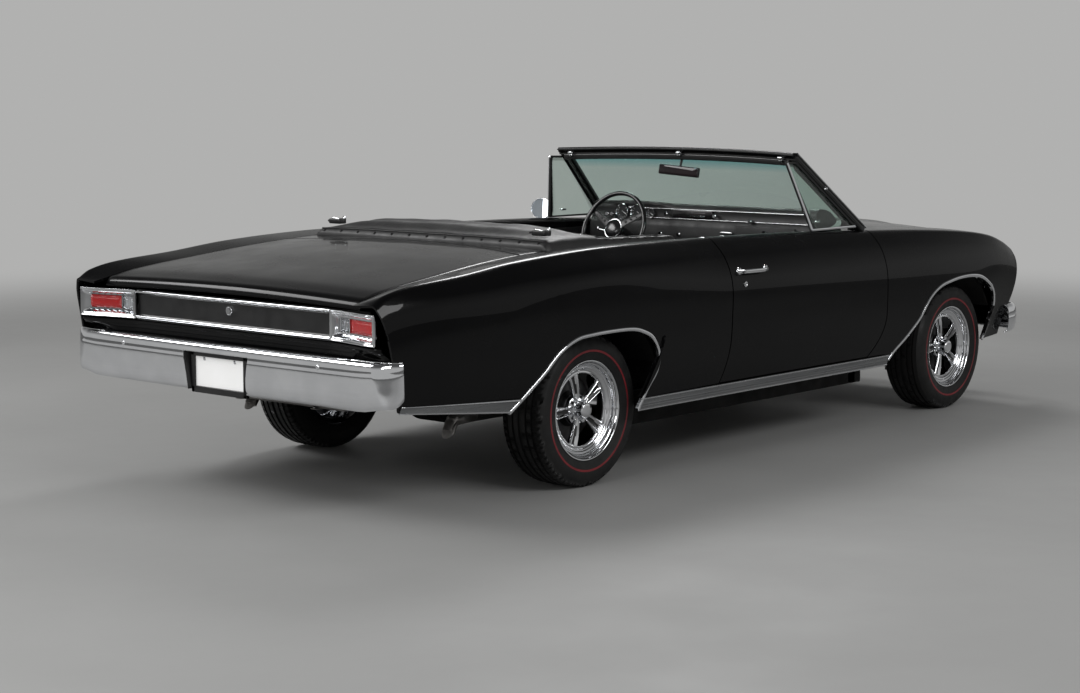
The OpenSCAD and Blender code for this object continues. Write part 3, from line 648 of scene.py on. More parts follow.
# Wheels: (radius, height above the wheel's centre plane), in metres
wheels = {
    "frontX": 1.689, "rearX": -1.232, "centreY": 0.736, "hubZ": 0.318, "spokes": 5,
    "rim": [(0.2068, 0.0905), (0.2068, 0.0985), (0.2025, 0.0985), (0.1990, 0.0950),
            (0.1955, 0.0860), (0.1905, 0.0835), (0.1885, 0.0790), (0.1865, 0.0700),
            (0.1800, 0.0665), (0.1775, 0.0690), (0.1745, 0.0690), (0.1715, 0.0655),
            (0.1640, 0.0630), (0.1610, 0.0585), (0.1560, 0.0600), (0.1520, 0.0600),
            (0.1500, 0.0570), (0.1505, 0.0500), (0.1700, 0.0400), (0.1840, 0.0300),
            (0.1840, -0.0880), (0.2050, -0.0945), (0.2068, -0.0985), (0.2068, -0.0915),
            (0.1945, -0.0885), (0.1945, 0.0885)],
    "tyre": [(0.1960, 0.0900), (0.2090, 0.0905), (0.2095, 0.0975), (0.2250, 0.1035),
             (0.2390, 0.1070), (0.2420, 0.1085), (0.2428, 0.1092), (0.2515, 0.1096),
             (0.2523, 0.1090), (0.2560, 0.1097), (0.2620, 0.1098), (0.2800, 0.1085),
             (0.2920, 0.1055), (0.3020, 0.0995), (0.3085, 0.0930), (0.3130, 0.0880),
             (0.3150, 0.0740), (0.3164, 0.0700), (0.3085, 0.0685), (0.3085, 0.0600),
             (0.3168, 0.0585), (0.3174, 0.0400), (0.3095, 0.0385), (0.3095, 0.0300),
             (0.3176, 0.0285), (0.3180, 0.0090), (0.3100, 0.0075), (0.3100, 0.0)],
    "redFrom": 0.2427, "redTo": 0.2518, "treadBlocks": 72,
}


def spokePoint(u, w):  # u from hub to rim, w across; returns the outer face
    radius = mix(0.040, 0.1535, u)
    halfWidth = mix(0.0165, 0.0270, ease(u)) + 0.004 * ease((u - 0.85) / 0.15)
    height = 0.050 + 0.012 * math.sin(u * math.pi * 0.55) - 0.004 * u
    ridge = math.exp(-((abs(w) - 0.74) / 0.20) ** 2) * 0.0060
    channel = -0.007 * math.exp(-(w / 0.42) ** 2) * ease(u / 0.3) * ease((1 - u) / 0.12)
    return Vector((radius, w * halfWidth, height + ridge + channel - 0.004 * abs(w) ** 6))


def wheelSet(axle, x, label, side):
    name = f"{axle}_{label}"
    body = "wheel_" + name
    w = wheels
    place = (Matrix.Translation((x, side * w["centreY"], w["hubZ"]))
             @ Matrix.Rotation(math.radians(-90 * side), 4, "X"))
    rim = lathePiece("rim_" + name, softLine(w["rim"], 0.003, 2, closed=True), 96, place, chrome,
                     body, "chrome", closed=True)
    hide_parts("wheel_" + name)
    bm = bmesh.new()
    for k in range(w["spokes"]):
        turn = place @ Matrix.Rotation(math.pi + k * math.tau / w["spokes"], 4, "Z")
        verts = placedGrid(bm, 16, 14, lambda i, j: spokePoint(i / 16, j / 7 - 1))
        thicken(bm, verts, lambda i, j, p, n: p - Vector((0, 0, 0.014)))
        fresh = [v for v in bm.verts if not v.tag]
        bmesh.ops.transform(bm, matrix=turn, verts=fresh)
        for v in bm.verts:
            v.tag = True
    bevelSharp(bm, 0.0015)
    back = place.inverted()
    for f in bm.faces:  # the channel down each spoke is given dull black: painted shade for the channel's depth
        p = back @ f.calc_center_median()
        radius = math.hypot(p.x, p.y)
        turn = (math.atan2(p.y, p.x) + math.pi) % (math.tau / w["spokes"])
        across = radius * math.sin(min(turn, math.tau / w["spokes"] - turn))
        if 0.068 < radius < 0.146 and across < 0.0085 and p.z > 0.035:
            f.material_index = 1
    addPiece(bm, "spokes_" + name, [chrome, satinBlack], body, "chrome")
    hub = softLine([(0.0, 0.0), (0.060, 0.0), (0.066, 0.030), (0.062, 0.044), (0.050, 0.050),
                    (0.034, 0.050), (0.0335, 0.088), (0.030, 0.0935), (0.020, 0.0955),
                    (0.0, 0.0960)], 0.002, 3)
    lathePiece("hubAndCap_" + name, hub, 48, place, chrome, body, "chrome")
    bm = bmesh.new()
    for k in range(w["spokes"]):
        angle = math.pi + (k + 0.5) * math.tau / w["spokes"]
        spot = place @ Matrix.Translation((0.0475 * math.cos(angle), 0.0475 * math.sin(angle), 0))
        lathe(bm, [(0.0, 0.040), (0.0105, 0.040), (0.0105, 0.060), (0.009, 0.063), (0.0, 0.064)],
              6, spot)
    addPiece(bm, "lugNuts_" + name, chrome, body, "chrome", sharp=20)
    drum = softLine([(0.0, -0.076), (0.126, -0.076), (0.136, -0.070), (0.136, -0.016), (0.141,
                                                                                        -0.016),
                     (0.141, -0.010), (0.120, -0.004), (0.0, -0.004)], 0.002, 2)
    lathePiece("brakeDrum_" + name, drum, 64, place, castIron, body, "tyre")
    tyrePiece(name, body, place)


def tyrePiece(name, body, place):
    w = wheels
    half = w["tyre"]
    profile = half + [(r, -h) for r, h in reversed(half[:-1])]
    bm = bmesh.new()
    lathe(bm, profile, w["treadBlocks"] * 2, Matrix.Identity(4), closed=True)
    bm.faces.ensure_lookup_table()
    slots = []
    for f in bm.faces:
        middle = f.calc_center_median()
        radius = math.hypot(middle.x, middle.y)
        if w["redFrom"] < radius < w["redTo"] and middle.z > 0.1:
            f.material_index = 1
        turn = math.degrees(math.atan2(middle.y, middle.x)) % 360
        step = int(turn / (360 / (w["treadBlocks"] * 2)))
        shoulder = radius > 0.305 and 0.070 < abs(middle.z) < 0.097
        rib = radius > 0.3155 and 0.010 < abs(middle.z) < 0.060
        if (shoulder and step % 2 == 0) or (rib and step % 4 == (1 if middle.z > 0 else 3)):
            slots.append(f)
    made = bmesh.ops.extrude_face_region(bm, geom=slots)["geom"]
    for v in made:
        if isinstance(v, bmesh.types.BMVert):
            radius = math.hypot(v.co.x, v.co.y)
            v.co.x *= (radius - 0.0065) / radius
            v.co.y *= (radius - 0.0065) / radius
    bmesh.ops.transform(bm, matrix=place, verts=bm.verts)
    tyre = addPiece(bm, "tyreCarcass_" + name, [tyreRubber, redBand], body, "tyre", sharp=30)
    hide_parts("tyre_" + name)


for label, side in sides:
    wheelSet("front", wheels["frontX"], label, side)
    wheelSet("rear", wheels["rearX"], label, side)
print("wheels built")

# Bright mouldings along the sills, behind the rear wheels and around the wheel arches
mouldings = {
    "rocker": {"backX": -1012, "frontX": 962, "slant": 22, "low": 299, "high": 352, "rows": 22},
    "skirt": {"backX": -2400, "frontX": -1742, "slant": 62, "low": (441, 381), "high": (469, 431)},
    "rearArch": [(-1812, 378), (-1736, 434), (-1683, 474), (-1623, 519), (-1536, 591),
                 (-1438, 634), (-1344, 644), (-1217, 648), (-1086, 645),
                 (-1020, 631), (-952, 600), (-902, 532), (-912, 463), (-960, 400), (-1015, 310)],
    "frontArch": [(960, 322), (1000, 358), (1089, 412), (1160, 460), (1226, 509), (1318, 601),
                  (1413, 649), (1511, 669), (1620, 681), (1740, 682), (1840, 670), (1930, 636),
                  (2005, 590), (2040, 517), (2026, 450), (1985, 384), (1950, 338)],
    "section": [(-3, -10), (-3, 3), (0, 5), (5, 6), (10, 5), (12.5, 2.5), (12.5, -2), (9, -3),
                (2, -3), (1, -10)],
}


def rockerPoint(look, side, u, v):
    edge = min(v, 1 - v)
    proud = 3 + 3 * ease(edge / 0.05) - 2.2 * ease((edge - 0.10) / 0.05)
    proud += 1.6 * max(0, 1 - abs(v - 0.5) / 0.035) + 1.1 * max(0, 1 - abs(v - 0.32) / 0.03)
    z = mix(look["low"], look["high"], v)
    back, front = look["backX"] + look["slant"] * v * 0.6, look["frontX"] - look["slant"] * (1 - v)
    x = mix(back, front, u)
    return placeOn(side, (x, sideY(x, z) + proud, z))


def skirtPoint(look, side, u, v):
    back, front = look["backX"] + 10 * v, look["frontX"] - look["slant"] * (1 - v)
    x = mix(back, front, u)
    z = mix(mix(*look["low"], u), mix(*look["high"], u), v)
    edge = min(v, 1 - v, u * 14, (1 - u) * 14)
    proud = 3 + 3.5 * ease(edge / 0.05) - 3.5 * ease((edge - 0.13) / 0.05)
    return placeOn(side, (x, sideY(x, z) + proud, z))


def trimBand(row, rows):
    return 0 if row < rows * 0.14 or row > rows * 0.86 else 1


argent = finish("argentTrim", ((0.17, 0.175, 0.18), (0.24, 0.245, 0.25)), 50.0, (0.24, 0.36), 70.0,
                metal=0.85, relief=("noise", 300, 0.1, 0.0002), stretch=(0.05, 1, 1))

for label, side in sides:
    look = mouldings["rocker"]
    rocker = wallPiece("rockerMoulding_" + label, 60, 40,
                       lambda i, j: rockerPoint(look, side, i / 60, j / 40), 0.004,
                       [chrome, argent], "body", "bright_trim", bevel=0.0006,
                       bands=lambda row: trimBand(row, 40))
    if side > 0:
        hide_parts("sill_mouldings")
    look = mouldings["skirt"]
    wallPiece("skirtMoulding_" + label, 56, 30, lambda i, j: skirtPoint(look, side, i / 56, j / 30),
              0.004, [chrome, argent], "body", "bright_trim", bevel=0.0006,
              bands=lambda row: trimBand(row, 30))
    for name, points in (("rear", mouldings["rearArch"]), ("front", mouldings["frontArch"])):
        path = smoothPath([placeOn(side, (x, sideY(x, z) + 0.5, z)) for x, z in points], 110)
        section = [(s * side * mm, o * mm) for s, o in mouldings["section"]]
        sweptPiece(f"{name}ArchMoulding_{label}", path, section,
                   lambda k: (0, side, 0), chrome, "body", "bright_trim", sharp=50)
print("mouldings built")

# Rear bumper: rows are [height, depth from the front face]
rearBumper = {
    "halfWidth": 940, "faceX": -2501,
    "profile": [[446, 26], [449, 19], [456, 12], [470, 7], [500, 3], [540, 1], [572, 0], [580, 0.5],
                [586, 1.5], [596, 2], [602, 2.5], [616, 4.5], [624, 8], [630, 13], [634, 22],
                [635, 34], [636, 52]],
    "sweep": [[0, 0], [300, 2], [550, 7], [750, 15], [890, 27]], "wrap": 68, "endRadius": 30,
    "endRise": (760, 18),
    "corner": (882, 826), "recess": (163, 197), "recessTop": 599, "recessDepth": 44,
    "bolts": [(570, 596)],
}


# how far the face has swept forward at y; it turns in past a slanting crease
def rearBumperBack(y, z):
    corner = mix(*rearBumper["corner"], clamp((z - 446) / 190))
    t = clamp((y - corner) / (rearBumper["halfWidth"] - corner))
    return curve(rearBumper["sweep"], min(y, corner)) + rearBumper["wrap"] * (
        0.32 * t + 0.68 * (1 - math.sqrt(1 - min(t, 0.998) ** 2)))


def rearBumperStations(z):  # half-widths of the grid's columns at height z
    share = clamp((z - 446) / 190)
    corner, recess = mix(*rearBumper["corner"], share), mix(*rearBumper["recess"], share)
    inner = [recess * k / 8 for k in range(8)] + [recess - 4, recess, recess + 3]
    face = [mix(recess + 6, corner - 6, ease(k / 20) * 0.3 + k / 20 * 0.7) for k in range(21)]
    wrap = [corner - 2, corner + 2] + [mix(corner + 8, 940, k / 10) for k in range(11)]
    return inner + face + wrap


def rearBumperPoint(i, j, rows):
    z = rows[j]
    stations = rearBumperStations(z)
    k = abs(i - (len(stations) - 1))
    side = 1 if i >= len(stations) - 1 else -1
    y = stations[k]
    d = curve(rearBumper["profile"], z)
    share = clamp((z - 446) / 190)
    turn = math.radians(55) * ease((y - 840) / 100)
    if y < mix(*rearBumper["recess"], share) - 1 and z < rearBumper["recessTop"]:
        d += rearBumper["recessDepth"] * clamp((mix(*rearBumper["recess"], share) - y) / 4)
    d = min(d, 20) + max(0, d - 20) * (1 - ease((y - 500) / 260))  # the top shelf narrows outwards
    d *= mix(1, 0.5, ease((y - 850) / 60))
    x = rearBumper["faceX"] + rearBumperBack(y, z) + d * math.cos(turn)
    t = clamp((y - rearBumper["halfWidth"]) / rearBumper["endRadius"] + 1)
    lift = rearBumper["endRadius"] * (1 - math.sqrt(1 - t * t))  # rounds the lower end corner
    riseFrom, rise = rearBumper["endRise"]
    lift += rise * ease((y - riseFrom) / 150)
    return Vector((x, side * (y - d * math.sin(turn)), z + lift * (1 - share))) * mm


def bumperRows(look, extra=()):
    rows = []
    points = look["profile"]
    for (a, _), (b, _) in zip(points, points[1:]):
        steps = max(1, round((b - a) / 9))
        rows += [mix(a, b, k / steps) for k in range(steps)]
    rows.append(points[-1][0])
    return sorted(rows + list(extra))


rows = bumperRows(rearBumper, (rearBumper["recessTop"] - 0.6, rearBumper["recessTop"] + 0.6))
columnCount = 2 * (len(rearBumperStations(500)) - 1)
bar = wallPiece("rearBumperBar", columnCount, len(rows) - 1,
                lambda i, j: rearBumperPoint(i, j, rows), 0.006, chrome, "body",
                "chrome", bevel=0.0012, toward=lambda p: Vector((0, p.y * 0.8, p.z)), sharp=32)
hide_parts("rear_bumper")
bm = bmesh.new()
for y, z in rearBumper["bolts"]:
    for side in (1, -1):
        x = rearBumper["faceX"] + rearBumperBack(y, z) + curve(rearBumper["profile"], z)
        lathe(bm, [(0.0095, -0.004), (0.0092, 0.0015), (0.007, 0.0032), (0.0, 0.004)], 20,
              Matrix.Translation(Vector((x, side * y, z)) * mm)
              @ Matrix.Rotation(math.radians(-90), 4, "Y"))
closeHoles(bm)
addPiece(bm, "rearBumperBolts", chrome, "body", "chrome")
bm = bmesh.new()
for side in (1, -1):
    addBox(bm, (-2.478, side * 0.456 - 0.02, 0.470), (-2.380, side * 0.456 + 0.02, 0.505), 0.004)
    addBox(bm, (-2.476, side * 0.456 - 0.045, 0.472), (-2.470, side * 0.456 + 0.045, 0.60), 0.002)
addPiece(bm, "rearBumperBrackets", chassisPaint, "body", "chassis")

# Licence plate with its holder and two bolts
plateLook = {"x": -2474, "halfWidth": 152, "low": 450, "high": 590, "holeY": 89, "holeZ": 572}


def platePoint(i, j, nu, nw):
    y, z = mix(-plateLook["halfWidth"], plateLook["halfWidth"], i / nu), \
        mix(plateLook["low"], plateLook["high"], j / nw)
    edge = min(i / nu, 1 - i / nu) * 2.1, min(j / nw, 1 - j / nw)
    raised = 1.2 * ease(1 - abs(min(edge) - 0.035) / 0.025)
    return Vector((plateLook["x"] + 1 - raised, y, z)) * mm


plate = wallPiece("licencePlate", 96, 48, lambda i, j: platePoint(i, j, 96, 48), 0.0012,
                  whitePlate, "body", "plate", bevel=0.0003, toward=lambda p: Vector((0, p.y, p.z)))
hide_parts("plate")
bm = bmesh.new()
for y in (-plateLook["holeY"], plateLook["holeY"]):
    lathe(bm, [(0.0075, -0.002), (0.0075, 0.0014), (0.005, 0.003), (0.0, 0.0034)], 6,
          Matrix.Translation(Vector((plateLook["x"], y, plateLook["holeZ"])) * mm)
          @ Matrix.Rotation(math.radians(-90), 4, "Y"))
closeHoles(bm)
addPiece(bm, "plateBolts", chrome, "body", "chrome", sharp=20)
bm = bmesh.new()
addBox(bm, (-2.4715, -0.158, 0.445), (-2.4560, 0.158, 0.594), 0.002)
for low, high in ((0.436, 0.4620), (0.5810, 0.5965)):
    addBox(bm, (-2.4810, -0.162, low), (-2.4660, 0.162, high), 0.003, 3)
for side in (1, -1):
    addBox(bm, (-2.4810, side * 0.1520 - 0.010, 0.436), (-2.4660, side * 0.1520 + 0.010, 0.5965),
           0.003, 3)
addPiece(bm, "plateHolder", satinBlack, "body", "black_grille")


def recessShadePoint(i, j):  # black sheet across the walls and back of the plate's recess: painted shade in the recess
    z = mix(449, 597.5, j / 12)
    half = mix(*rearBumper["recess"], clamp((z - 446) / 190))
    y, deep = ((half - 1.4, 2.5), (half - 5.6, 41.5))[0 < i < 21]
    if 0 < i < 21:
        y *= (10.5 - i) / 9.5
    return Vector((rearBumper["faceX"] + deep, y if i < 21 else -y, z)) * mm


# painted shade: a black sheet inside the bumper's plate recess
wallPiece("plateRecessShade", 21, 12, recessShadePoint, 0.001, satinBlack, "body", "black_grille",
          bevel=0.0003, toward=lambda p: Vector((-2.3, 0, 0.52)))
print("rear bumper and plate built")

# Tail lamps: a chromed recess with ribbed red and clear lenses at its back
tailLamp = {
    "outer": [[568, -2426], [640, -2437], [720, -2454], [800, -2473], [856, -2481]],
    "y": (570, 856), "z": (692, 808), "rim": 9, "depth": 36,
    "red": (668, 838), "clear": (608, 664), "lensZ": (724, 780),
}


def lampX(y):
    return curve(tailLamp["outer"], abs(y))


def lampPoint(side, i, j, nu, nw):
    u, v = i / nu, j / nw
    y, z = mix(*tailLamp["y"], u), mix(*tailLamp["z"], v)
    tall = (tailLamp["z"][1] - tailLamp["z"][0]) / 2
    wide = (tailLamp["y"][1] - tailLamp["y"][0]) / 2
    middleY = sum(tailLamp["y"]) / 2
    reachY, reachZ = wide - abs(y - middleY), tall - abs(z - sum(tailLamp["z"]) / 2)
    near = min(reachY, reachZ)
    deep = ease((near - tailLamp["rim"]) / 24) * tailLamp["depth"]
    step = 3 * ease((near - 3) / 3) - 3 * ease((near - 8) / 3)
    return placeOn(side, (lampX(y) + deep - 2 + step, y, z))


def lensPoint(side, spanY, i, j, nu, nw):
    u, v = i / nu, j / nw
    y, z = mix(*spanY, u), mix(*tailLamp["lensZ"], v)
    crown = 9 * (1 - (2 * v - 1) ** 4) * (1 - (2 * u - 1) ** 8)
    fluting = 0.9 * abs(math.sin(u * (spanY[1] - spanY[0]) / 9 * math.pi))
    return placeOn(side, (lampX(y) + tailLamp["depth"] - 4 - crown - fluting, y, z))


for label, side in sides:
    inward = lambda p: Vector((0, p.y, p.z))
    bezel = wallPiece("tailLampBezel_" + label, 64, 36, lambda i, j: lampPoint(side, i, j, 64, 36),
                      0.006, chrome, "body", "chrome", bevel=0.001, toward=inward, sharp=50)
    if side > 0:
        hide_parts("tail_lamps")
    for name, span, lensFinish, slotName in (("red", tailLamp["red"], redLens, "red_lens"),
                                             ("clear", tailLamp["clear"], clearLens, "lamp_glass")):
        wallPiece(f"{name}TailLens_{label}", 60 if name == "red" else 20, 16,
                  lambda i, j: lensPoint(side, span, i, j, 60 if name == "red" else 20, 16),
                  0.004, lensFinish, "body", slotName, bevel=0.001, toward=inward)
    bm = bmesh.new()
    y0, y1 = tailLamp["clear"][0] - 5, tailLamp["red"][1] + 5
    z0, z1 = tailLamp["lensZ"][0] - 5, tailLamp["lensZ"][1] + 5
    middle = (tailLamp["red"][0] + tailLamp["clear"][1]) / 2
    for a, b, c, d in ((y0, y1, z0, z0 + 6), (y0, y1, z1 - 6, z1), (y0, y0 + 6, z0, z1),
                       (y1 - 6, y1, z0, z1), (middle - 2, middle + 2, z0, z1)):
        steps = max(1, round((b - a) / 30))
        for k in range(steps):
            ya, yb = mix(a, b, k / steps), mix(a, b, (k + 1) / steps)
            x = lampX((ya + yb) / 2) + tailLamp["depth"] - 12
            low = placeOn(side, (x, ya if side > 0 else yb, c))
            high = placeOn(side, (x + 12, yb if side > 0 else ya, d))
            addBox(bm, low, high, 0.0)
    addPiece(bm, "tailLensFrame_" + label, chrome, "body", "chrome")

# Tail panel between the lamps with two bright bars, and the valance above the bumper
tail = {"x": -2416, "halfWidth": 567, "z": (688, 812), "bars": (700, 803), "barHeight": 10,
        "valance": (556, 684)}


def tailPanelPoint(i, j, nu, nw):
    y, z = mix(-tail["halfWidth"], tail["halfWidth"], i / nu), mix(*tail["z"], j / nw)
    sunk = 9 * ease((min(j / nw, 1 - j / nw) - 0.10) / 0.08)
    return Vector((lampX(568) + 4 + sunk - 3 * (1 - (y / 568) ** 2), y, z)) * mm


panelSkin = wallPiece("tailPanelSkin", 48, 28, lambda i, j: tailPanelPoint(i, j, 48, 28), 0.006,
                      satinBlack, "body", "black_grille", toward=lambda p: Vector((0, p.y, p.z)))
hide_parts("tail_panel")
for n, z in enumerate(tail["bars"]):
    path = [Vector((lampX(568) - 3 * (1 - (y / 568) ** 2) + 1, y, z)) * mm
            for y in [mix(-570, 570, k / 40) for k in range(41)]]
    half = tail["barHeight"] / 2 * mm
    sweptPiece(f"tailBar{n}", path, softLine([(-half, -0.006), (-half, 0.003), (0, 0.0055),
                                              (half, 0.003), (half, -0.006)], 0.0015, 2),
               lambda k: (-1, 0, 0), chrome, "body", "chrome")


def valancePoint(i, j, nu, nw):
    y = mix(-872, 872, i / nu)
    v = j / nw
    z = mix(*tail["valance"], v)
    edge = ease((abs(y) - 850) / 24) * 16
    edge += 52 * ease((abs(y) - 690) / 130) * (1 - ease((z - 632) / 44))  # clears the bumper's ends
    return Vector((lampX(min(abs(y), 856)) + 6 + 26 * (1 - ease(v / 0.5)) + edge
                   + 3 * math.exp(-((z - 668) / 5) ** 2), y, z)) * mm


wallPiece("tailValance", 80, 24, lambda i, j: valancePoint(i, j, 80, 24), 0.005, blackPaint,
          "body", "paint", toward=lambda p: Vector((0, p.y, p.z)))
bm = bmesh.new()
lathe(bm, [(0.0, 0.010), (0.0125, 0.010), (0.0135, 0.007), (0.017, 0.006), (0.0185, 0.003),
           (0.0185, -0.006)], 40, Matrix.Translation((lampX(568) * mm + 0.008, 0, 0.762))
      @ Matrix.Rotation(math.radians(-90), 4, "Y"))
closeHoles(bm)
addPiece(bm, "trunkLock", chrome, "body", "chrome")
print("tail built")

# Front bumper: a plain blade that wraps back at both ends
frontBumper = {
    "faceX": 2502,
    "sweep": [[0, 0], [400, 12], [650, 42], [790, 88], [850, 140], [885, 220], [896, 300]],
    "profile": [[350, 26], [353, 18], [364, 9], [378, 4], [400, 1], [424, 0], [436, 0.3],
                [440, 2.2], [444, 0.8], [458, 1.5], [472, 4], [486, 9], [495, 17], [500, 27]],
    "bolts": [(250, 470), (560, 468), (250, 384), (560, 384)],
}
half = [(y, -curve(frontBumper["sweep"], y)) for y in
        (0, 120, 260, 400, 530, 650, 730, 790, 825, 850, 870, 885, 892, 896)]
half = smoothPath(half, 60)
frontLine = [Vector((-p[0], p[1])) for p in reversed(half[1:])] + half
rows = bumperRows(frontBumper)


def frontBumperPoint(i, j):
    y, back = frontLine[i]
    turn = 1.1 * ease((abs(y) - 700) / 190)  # the ends lean inwards
    depth = curve(frontBumper["profile"], rows[j])
    return Vector((frontBumper["faceX"] + back - depth * math.cos(turn),
                   y - math.copysign(depth * math.sin(turn), y), rows[j])) * mm


bar = wallPiece("frontBumperBar", len(frontLine) - 1, len(rows) - 1, frontBumperPoint, 0.006,
                chrome, "body", "chrome", bevel=0.0012, toward=lambda p: Vector((1.5, 0, p.z)))
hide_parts("front_bumper")
bm = bmesh.new()
for y, z in frontBumper["bolts"]:
    for side in (1, -1):
        x = frontBumper["faceX"] - curve(frontBumper["sweep"], y) - curve(frontBumper["profile"], z)
        lathe(bm, [(0.0100, -0.004), (0.0096, 0.0012), (0.007, 0.0034), (0.0, 0.0042)], 20,
              Matrix.Translation(Vector((x - 0.5, side * y, z)) * mm)
              @ Matrix.Rotation(math.radians(90), 4, "Y"))
closeHoles(bm)
addPiece(bm, "frontBumperBolts", chrome, "body", "chrome")
bm = bmesh.new()
for side in (1, -1):
    addBox(bm, (2.330, side * 0.365 - 0.022, 0.368), (2.478, side * 0.365 + 0.022, 0.420), 0.004)
    addBox(bm, (2.470, side * 0.365 - 0.050, 0.366), (2.480, side * 0.365 + 0.050, 0.486), 0.002)
addPiece(bm, "frontBumperBrackets", chassisPaint, "body", "chassis")

# Grille: fine level bars behind a bright frame, and two round lamps in each end panel
front = {
    "x": 2284, "grille": (-566, 566, 524, 764), "bars": 11,
    "lampY": (644, 770), "lampZ": 680, "lampRadius": 61, "panel": (581, 833, 574, 766),
    "valance": (384, 522),
}


def frontX(y):  # the nose bows back towards the fenders
    return front["x"] + 8 - 26 * (abs(y) / 833) ** 2


bm = bmesh.new()
y0, y1, z0, z1 = front["grille"]
section = softLine([(-0.0022, -0.010), (0.0022, -0.010), (0.0022, 0.006), (-0.0022, 0.006)],
                   0.0012, 2,
                   closed=True)
across = [mix(y0, y1, k / 24) for k in range(25)]
for k in range(1, front["bars"]):
    z = mix(z0, z1, k / front["bars"])
    sweep(bm, [Vector((frontX(y) - 8, y, z)) * mm for y in across], section, lambda i: (1, 0, 0))
grilleBars = addPiece(bm, "grilleBars", brightTrim, "body", "black_grille")
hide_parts("grille")
bm = bmesh.new()
for k in range(-13, 14):
    y = k * 41
    addBox(bm, Vector((frontX(y) - 24, y - 1.5, z0)) * mm, Vector((frontX(y) - 8, y + 1.5,
                                                                   z1)) * mm,
           0.0005, 1)
addPiece(bm, "grilleSlats", satinBlack, "body", "black_grille")
bm = bmesh.new()
section = softLine([(-0.005, -0.012), (0.005, -0.012), (0.005, 0.004), (-0.005, 0.004)], 0.003, 3,
                   closed=True)
for z in (z0 + 4, z1 - 4):
    sweep(bm, [Vector((frontX(y) - 4, y, z)) * mm for y in across], section, lambda i: (1, 0, 0))
for y in (y0, y1):
    sweep(bm, [Vector((frontX(y) - 4, y, z)) * mm for z in (z0, mix(z0, z1, 0.5), z1)], section,
          lambda i: (1, 0, 0))
addPiece(bm, "grilleFrame", chrome, "body", "bright_trim")
bm = bmesh.new()
addBox(bm, (2.204, -0.300, 0.400), (2.246, 0.300, 0.740), 0.004)
addBox(bm, (2.200, -0.300, 0.728), (2.258, 0.300, 0.758), 0.008, 3)
addBox(bm, (2.200, -0.300, 0.384), (2.258, 0.300, 0.412), 0.006, 3)
for side in (1, -1):
    addBox(bm, (2.198, side * 0.307 - 0.012, 0.382), (2.262, side * 0.307 + 0.012, 0.760), 0.002)
lathe(bm, [(0.0, 0.0), (0.032, 0.0), (0.034, 0.006), (0.028, 0.014), (0.012, 0.016), (0.0,
                                                                                      0.016)], 24,
      Matrix.Translation((2.229, 0.05, 0.756)))
addPiece(bm, "radiator", chassisPaint, "body", "chassis")


def bezelPoint(side, lampY, i, j, nu, nw):
    a, v = math.tau * i / nu, j / nw
    ring = Vector((math.cos(a), math.sin(a))) * front["lampRadius"]
    wide = [front["panel"][0] - lampY, front["panel"][1] - lampY]
    middle = sum(front["lampY"]) / 2
    wide = [wide[0], middle - lampY] if lampY < middle else [middle - lampY, wide[1]]
    tall = [front["panel"][2] - front["lampZ"], front["panel"][3] - front["lampZ"]]
    reach = min(wide[ring.x > 0] / ring.x if abs(ring.x) > 1e-6 else 1e9,
                tall[ring.y > 0] / ring.y if abs(ring.y) > 1e-6 else 1e9)
    spot = ring.lerp(ring * reach, v ** 1.2)
    y = lampY + spot.x
    x = frontX(y) + 2 - 16 * (1 - ease(v / 0.75)) + 2.5 * math.exp(-((v - 0.12) / 0.08) ** 2)
    return placeOn(side, (x, y, front["lampZ"] + spot.y))


for label, side in sides:
    for n, lampY in enumerate(front["lampY"]):
        wallPiece(f"headlampBezel_{label}{n}", 96, 14,
                  lambda i, j: bezelPoint(side, lampY, i, j, 96, 14), 0.004, argent, "body",
                  "bright_trim", bevel=0.0008, toward=lambda p: Vector((0, p.y, p.z)), sharp=50)
        spot = (Matrix.Translation(Vector((frontX(lampY) - 38, side * lampY, front["lampZ"])) * mm)
                @ Matrix.Rotation(math.radians(90), 4, "Y"))
        lens = lathePiece(f"headlampLens_{label}{n}",
                          [(0.0, 0.0335), (0.020, 0.0328), (0.040, 0.0295), (0.052, 0.0245),
                           (0.0575, 0.019), (0.0575, 0.016), (0.050, 0.0205), (0.038, 0.0255),
                           (0.020, 0.0285), (0.0, 0.0295)], 48, spot, clearLens, "body",
                          "lamp_glass")
        if side > 0 and n == 0:
            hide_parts("headlamps")
        lathePiece(f"headlampBowl_{label}{n}",
                   [(0.0, -0.022), (0.020, -0.020), (0.040, -0.006), (0.0565, 0.0155),
                    (0.0610, 0.0165), (0.0610, 0.0235), (0.0625, 0.0235), (0.0625, 0.0120),
                    (0.043, -0.0095), (0.022, -0.0245), (0.0, -0.027)], 48, spot, chrome, "body",
                   "chrome")


def frontValancePoint(i, j, nu, nw):
    y = mix(-826, 826, i / nu)
    v, rise = j / nw, ease((abs(y) - 566) / 14)  # rises to the lamp panels at both ends
    z = mix(front["valance"][0], front["valance"][1] + 54 * rise, v)
    x = 2320 - 92 * (abs(y) / 826) ** 2.2 - 22 * (1 - v) ** 2
    return Vector((mix(x, frontX(y) - 6, rise * ease((z - 500) / 50)), y, z)) * mm


wallPiece("frontValance", 118, 16, lambda i, j: frontValancePoint(i, j, 118, 16), 0.004, blackPaint,
          "body", "paint", toward=lambda p: Vector((0, p.y, p.z)))
bm = bmesh.new()  # cap over the grille, under the hood's lip
cap = softLine([(-0.012, -0.030), (0.010, -0.030), (0.010, 0.010), (-0.004, 0.010)], 0.004, 3,
               closed=True)
sweep(bm, [Vector((frontX(y) - 8, y, 776)) * mm for y in [mix(-760, 760,
                                                              k / 30) for k in range(31)]],
      cap, lambda i: (1, 0, 0))
addPiece(bm, "grilleCap", blackPaint, "body", "paint")
print("front end built")

# Windshield, its frame, vent windows and mirrors
screen = {
    "foot": (876, 797, 960), "head": (431, 700, 1316), "mirrorX": 480, "mirrorZ": 1228,
    "mirror": (122, 24),
}


